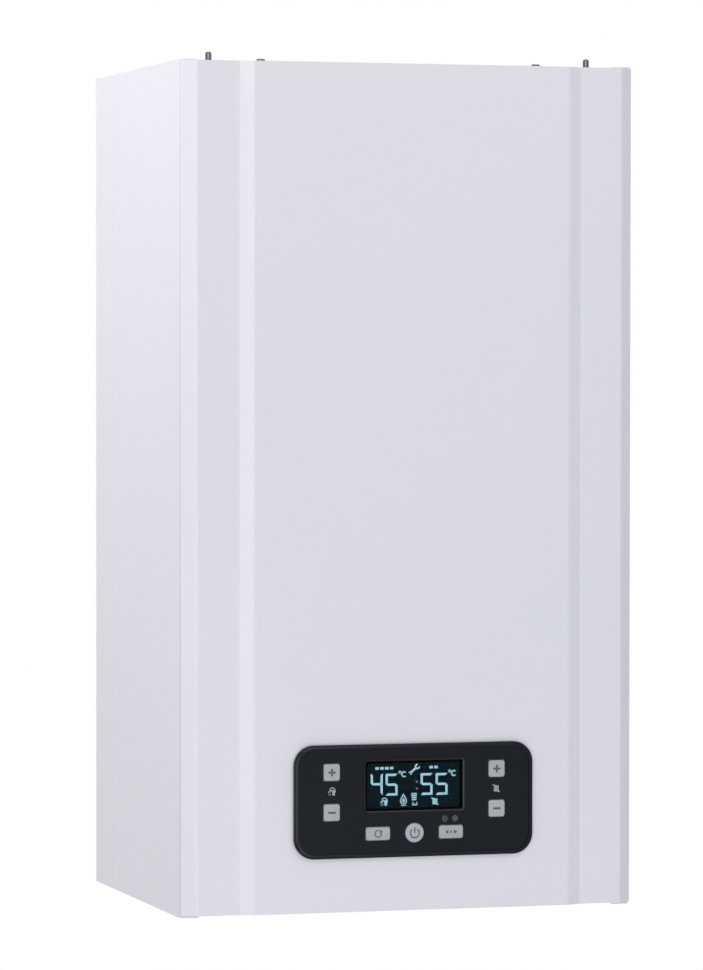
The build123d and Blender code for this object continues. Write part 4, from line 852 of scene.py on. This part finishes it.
def recess_shade_tree(material):
    """A small dark cross on every given face, turned to look the way the face does: painted shade standing
    for a screw's cross recess.
    """
    inputs = {"Arm": ("NodeSocketFloat", 0.0018), "Blade": ("NodeSocketFloat", 0.0005),
              "Depth": ("NodeSocketFloat", 0.0001)}
    tree, start, real = repeating_tree("screw_recess", inputs, material)
    add, link = tree.nodes.new, tree.links.new
    both = add("GeometryNodeJoinGeometry")
    for across, along in (("Arm", "Blade"), ("Blade", "Arm")):
        blade = add("GeometryNodeMeshCube")
        size = add("ShaderNodeCombineXYZ")
        link(start.outputs[across], size.inputs["X"])
        link(start.outputs[along], size.inputs["Y"])
        link(start.outputs["Depth"], size.inputs["Z"])
        link(size.outputs[0], blade.inputs["Size"])
        link(blade.outputs["Mesh"], both.inputs[0])
    facing = add("GeometryNodeInputNormal")
    turn = add("FunctionNodeAlignRotationToVector")
    turn.axis = "Z"
    link(facing.outputs[0], turn.inputs["Vector"])
    spread = add("GeometryNodeInstanceOnPoints")
    points = add("GeometryNodeMeshToPoints")
    points.mode = "FACES"
    kept = add("GeometryNodeCaptureAttribute")
    kept.domain = "FACE"
    kept.capture_items.new("ROTATION", "Turn")
    link(start.outputs["Geometry"], kept.inputs["Geometry"])
    link(turn.outputs[0], kept.inputs["Turn"])
    link(kept.outputs["Geometry"], points.inputs["Mesh"])
    link(points.outputs[0], spread.inputs["Points"])
    link(both.outputs[0], spread.inputs["Instance"])
    link(kept.outputs["Turn"], spread.inputs["Rotation"])
    link(spread.outputs[0], real.inputs[0])
    return tree


def thread_tree(material):
    """Thread ridges round a pipe end: fine rings stacked down from each given point."""
    inputs = {"Radius": ("NodeSocketFloat", 0.0132), "Ridge": ("NodeSocketFloat", 0.0004),
              "Pitch": ("NodeSocketFloat", 0.0018), "Ridges": ("NodeSocketInt", 10)}
    tree, start, real = repeating_tree("pipe_thread", inputs, material)
    add, link = tree.nodes.new, tree.links.new
    path = add("GeometryNodeCurvePrimitiveCircle")
    path.inputs["Resolution"].default_value = 40
    link(start.outputs["Radius"], path.inputs["Radius"])
    section = add("GeometryNodeCurvePrimitiveCircle")
    section.inputs["Resolution"].default_value = 4
    link(start.outputs["Ridge"], section.inputs["Radius"])
    ring = add("GeometryNodeCurveToMesh")
    link(path.outputs["Curve"], ring.inputs["Curve"])
    link(section.outputs["Curve"], ring.inputs["Profile Curve"])
    line = add("GeometryNodeMeshLine")
    drop = add("ShaderNodeCombineXYZ")
    negative = add("ShaderNodeMath")
    negative.operation = "MULTIPLY"
    negative.inputs[1].default_value = -1.0
    link(start.outputs["Pitch"], negative.inputs[0])
    link(negative.outputs[0], drop.inputs["Z"])
    link(start.outputs["Ridges"], line.inputs["Count"])
    link(drop.outputs[0], line.inputs["Offset"])
    stack = add("GeometryNodeInstanceOnPoints")
    link(line.outputs["Mesh"], stack.inputs["Points"])
    link(ring.outputs["Mesh"], stack.inputs["Instance"])
    spread = add("GeometryNodeInstanceOnPoints")
    link(start.outputs["Geometry"], spread.inputs["Points"])
    link(stack.outputs[0], spread.inputs["Instance"])
    link(spread.outputs[0], real.inputs[0])
    return tree


def grow(name, body, seed_mesh, tree, values):
    """Runs a tree on a mesh of places and keeps the result as one plain piece."""
    seed = bpy.data.objects.new(name + "_places", seed_mesh)
    bpy.context.scene.collection.objects.link(seed)
    modifier = seed.modifiers.new("repeat", "NODES")
    modifier.node_group = tree
    for label, value in values.items():
        modifier[socket_id(tree, label)] = value
    seen = seed.evaluated_get(bpy.context.evaluated_depsgraph_get())
    mesh = bpy.data.meshes.new_from_object(seen)
    mesh.name = name
    bpy.data.objects.remove(seed)
    piece = bpy.data.objects.new(name, mesh)
    bpy.context.scene.collection.objects.link(piece)
    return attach(piece, body)


def small_faces(name, places):
    """A mesh with a tiny face at every place, looking up or to the front."""
    tiny = 0.1
    shapes = {"up": [(tiny, 0, 0), (0, tiny, 0), (-tiny, -tiny, 0)],
              "front": [(tiny, 0, 0), (0, 0, tiny), (-tiny, 0, -tiny)]}
    mesh = bpy.data.meshes.new(name)
    corners, faces = [], []
    for (x, y, z), way in places:
        faces.append(tuple(range(len(corners), len(corners) + 3)))
        corners += [((x + a) * MM, (y + b) * MM, (z + c) * MM) for a, b, c in shapes[way]]
    mesh.from_pydata(corners, [], faces)
    return mesh


def paint_recess_shade(material):
    """Painted shade for the cross recesses of the casing screws on top and the lid screws in front, a hair
    over their heads.
    """
    top_of_heads, front_of_heads = 51.42, -280.32
    casing_screws = [(x, y) for x in (-196.5, 196.5) for y in (-99.0, -190.4, -281.8)]
    lid_screws = [(x, z) for x in (-189, 189) for z in (-354, -159, 36)] + [(0, -354), (0, 36)]
    places = [((x, y, top_of_heads), "up") for x, y in casing_screws]
    places += [((x, front_of_heads, z), "front") for x, z in lid_screws]
    seeds = small_faces("recess_places", places)
    tree = recess_shade_tree(material)
    grow("casing_screw_recess_shade", "boiler", seeds, tree, {"Arm": 0.0036, "Blade": 0.0008, "Depth": 0.0001})


def cut_threads(material):
    """Thread ridges on the five pipe stubs, from their first ridge down; sizes in metres but for x."""
    stub_y, first_ridge, ridge, pitch = -0.160, -0.6845, 0.0004, 0.0018
    tree = thread_tree(material)
    for name, xs, radius in (("large_stub_threads", (-130, 0, 130), 0.0132),
                             ("small_stub_threads", (-65, 65), 0.0105)):
        mesh = bpy.data.meshes.new(name + "_places")
        mesh.from_pydata([(x * MM, stub_y, first_ridge) for x in xs], [], [])
        grow(name, "boiler", mesh, tree, {"Radius": radius, "Ridge": ridge, "Pitch": pitch, "Ridges": 10})


# ---------------------------------------------------------------- every piece gets its finish
def dress(material, *names):
    """Gives a finish to solid pieces of the frame."""
    for name in names:
        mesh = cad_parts[name].data
        mesh.materials.clear()
        mesh.materials.append(material)


def dress_all():
    """Gives every solid piece its finish, from the casing inward; returns the turned brass."""
    case = powder_coat("case_white", (0.724, 0.732, 0.786), (0.744, 0.748, 0.804))
    dress(case, "front_cover", "side_panel_left", "side_panel_right", "back_frame")
    sheet = galvanised("galvanised_sheet", (0.33, 0.34, 0.355), (0.41, 0.42, 0.435))
    dress(sheet, "top_plate", "bottom_plate", "chassis", "chamber_box", "chamber_lid")
    aluminised = plain_metal("aluminised_steel", (0.42, 0.42, 0.42), (0.52, 0.52, 0.52), rough=(0.35, 0.5))
    dress(aluminised, "firebox", "flue_hood")
    dark = plain_metal("dark_steel", (0.10, 0.10, 0.105), (0.16, 0.16, 0.17), rough=(0.1, 0.2),
                       along=(1, 1, 0.1))
    dress(dark, "cover_locating_pins", "cover_screws")
    zinc = plain_metal("zinc_plate", (0.50, 0.51, 0.53), (0.62, 0.63, 0.66), rough=(0.22, 0.35))
    dress(zinc, "casing_screws")

    bezel = moulding("bezel_black", (0.0024, 0.0036, 0.0060), (0.0036, 0.0050, 0.0080), rough=(0.16, 0.24),
                     texture=300.0, depth=0.00001, Specular_IOR_Level=0.16,
                     Specular_Tint=(0.90, 0.97, 1.0, 1.0))
    dress(bezel, "control_bezel")
    dress(window_glass("window_smoke"), "display_window")
    dress(dark_display("display_dark"), "display_module")
    caps = moulding("button_grey", (0.36, 0.372, 0.395), (0.40, 0.412, 0.435), rough=(0.42, 0.55))
    dress(caps, "plus_left_button", "minus_left_button", "plus_right_button", "minus_right_button",
          "reset_button", "mode_button")
    power = moulding("power_grey", (0.355, 0.41, 0.45), (0.39, 0.455, 0.50), rough=(0.35, 0.48))
    dress(power, "power_button")
    mat = moulding("silicone_grey", (0.045, 0.045, 0.05), (0.06, 0.06, 0.065), rough=(0.6, 0.75))
    dress(mat, "keypad_mat")
    dress(circuit_board("board_green"), "display_board")

    black = moulding("moulded_black", (0.010, 0.010, 0.011), (0.018, 0.018, 0.020))
    dress(black, "control_housing", "diverter_motor", "filling_tap_handle", "cable_gland",
          "flow_turbine_rotor", "sensors")
    grey = moulding("moulded_grey", (0.16, 0.165, 0.17), (0.20, 0.205, 0.21))
    dress(grey, "control_box", "air_pressure_switch")
    foam = moulding("foam_black", (0.012, 0.012, 0.012), (0.03, 0.03, 0.03), rough=(0.85, 0.95),
                    texture=450.0, depth=0.0003)
    dress(foam, "chamber_seals")
    dress(enamel("vessel_red", (0.34, 0.018, 0.014), (0.42, 0.028, 0.02)), "expansion_vessel")
    dress(enamel("pump_red", (0.14, 0.014, 0.014), (0.19, 0.02, 0.02)), "pump_motor")
    dress(enamel("motor_black", (0.010, 0.010, 0.011), (0.02, 0.02, 0.021)), "fan_motor")

    copper = plain_metal("copper_tube", (0.58, 0.26, 0.15), (0.72, 0.36, 0.22), rough=(0.22, 0.4),
                         along=(1, 1, 0.15))
    dress(copper, "vessel_pipe", "heating_pipes", "gas_pipes", "heat_exchanger")
    dress(cast_brass("brass_casting"), "diverter_body", "pump_body", "cold_inlet_block")
    turned = plain_metal("turned_brass", (0.60, 0.42, 0.18), (0.72, 0.53, 0.25), rough=(0.16, 0.3),
                         along=(1, 1, 6))
    dress(turned, "pipe_nuts", "air_vent", "relief_valve", "filling_tap", "diverter_spindle")
    plates = plain_metal("stainless_plates", (0.40, 0.395, 0.38), (0.49, 0.48, 0.47), rough=(0.42, 0.5),
                         depth=0.00001)
    dress(plates, "plate_exchanger")
    dress(heated_steel("burner_steel"), "burner")
    aluminium = plain_metal("cast_aluminium", (0.50, 0.50, 0.51), (0.60, 0.60, 0.61), rough=(0.4, 0.55),
                            grain=300.0, depth=0.0001)
    dress(aluminium, "gas_manifold", "fan_housing", "fan_impeller")
    dress(fibre_board("ceramic_fibre"), "firebox_insulation")
    dress(spark_parts("spark_ceramic", split=-0.2285), "electrodes")
    dress(valve_metal("valve_casting", split=-0.1952), "gas_valve")
    dress(moulding("pump_wheel", (0.42, 0.38, 0.28), (0.48, 0.44, 0.33)), "pump_impeller")
    knob = moulding("knob_red", (0.40, 0.016, 0.012), (0.46, 0.024, 0.018), rough=(0.25, 0.4))
    dress(knob, "relief_valve_knob")
    return turned


set_camera()
set_room()
lay_floor()
warm = (1.0, 0.99, 0.99)
add_lamp("upper_softbox", (0.2, -3.8, 1.4), (0.0, -0.3, -0.3), size=1.6, power=20.0, tint=warm)
add_lamp("lower_softbox", (0.2, -3.8, -1.9), (0.0, -0.3, -0.35), size=1.6, power=19.5, tint=warm)
add_lamp("left_softbox", (-1.9, -4.0, -0.4), (0.0, -0.3, -0.3), size=2.2, power=48.0, tint=warm)
add_lamp("high_softbox", (-1.2, -0.1, 1.5), (-0.2, -0.2, 0.0), size=0.8, power=38.0, tint=(1.0, 1.0, 0.995))
add_lamp("panel_strip", (0.63, -1.83, 0.88), (0.0, -0.33, -0.59), size=0.5, power=3.5)
bpy.context.scene.view_settings.view_transform = "Standard"

brass = dress_all()
light_display(display_glow("display_cyan", (0.32, 0.61, 0.70), (0.46, 0.72, 0.81), strength=1.05),
              display_glow("display_faint", (0.16, 0.34, 0.40), (0.22, 0.40, 0.46), strength=0.9))
print_panel(ink_and_painted_shade("bezel_ink", (0.32, 0.33, 0.34), (0.40, 0.41, 0.42)),
            ink_and_painted_shade("faint_ink", (0.10, 0.104, 0.11), (0.14, 0.145, 0.15)))
mould_caps()
trim_panel(moulding("rim_black", (0.0016, 0.0028, 0.0056), (0.0026, 0.0040, 0.0074), rough=(0.14, 0.2),
                    texture=300.0, depth=0.00001, Specular_IOR_Level=0.2))
# Grey strips in the seams: painted shade of the groove between the cover and the side panels.
shade_seams(moulding("seam_shade_grey", (0.26, 0.27, 0.29), (0.31, 0.32, 0.34), rough=(0.6, 0.7)))
mark_buttons(ink_and_painted_shade("button_ink", (0.06, 0.063, 0.07), (0.09, 0.093, 0.10)))
# Dark crosses on the screw heads: painted shade of their cross recesses, not cut into the heads.
paint_recess_shade(ink_and_painted_shade("recess_shadow", (0.01, 0.01, 0.01), (0.03, 0.03, 0.03)))
cut_threads(brass)
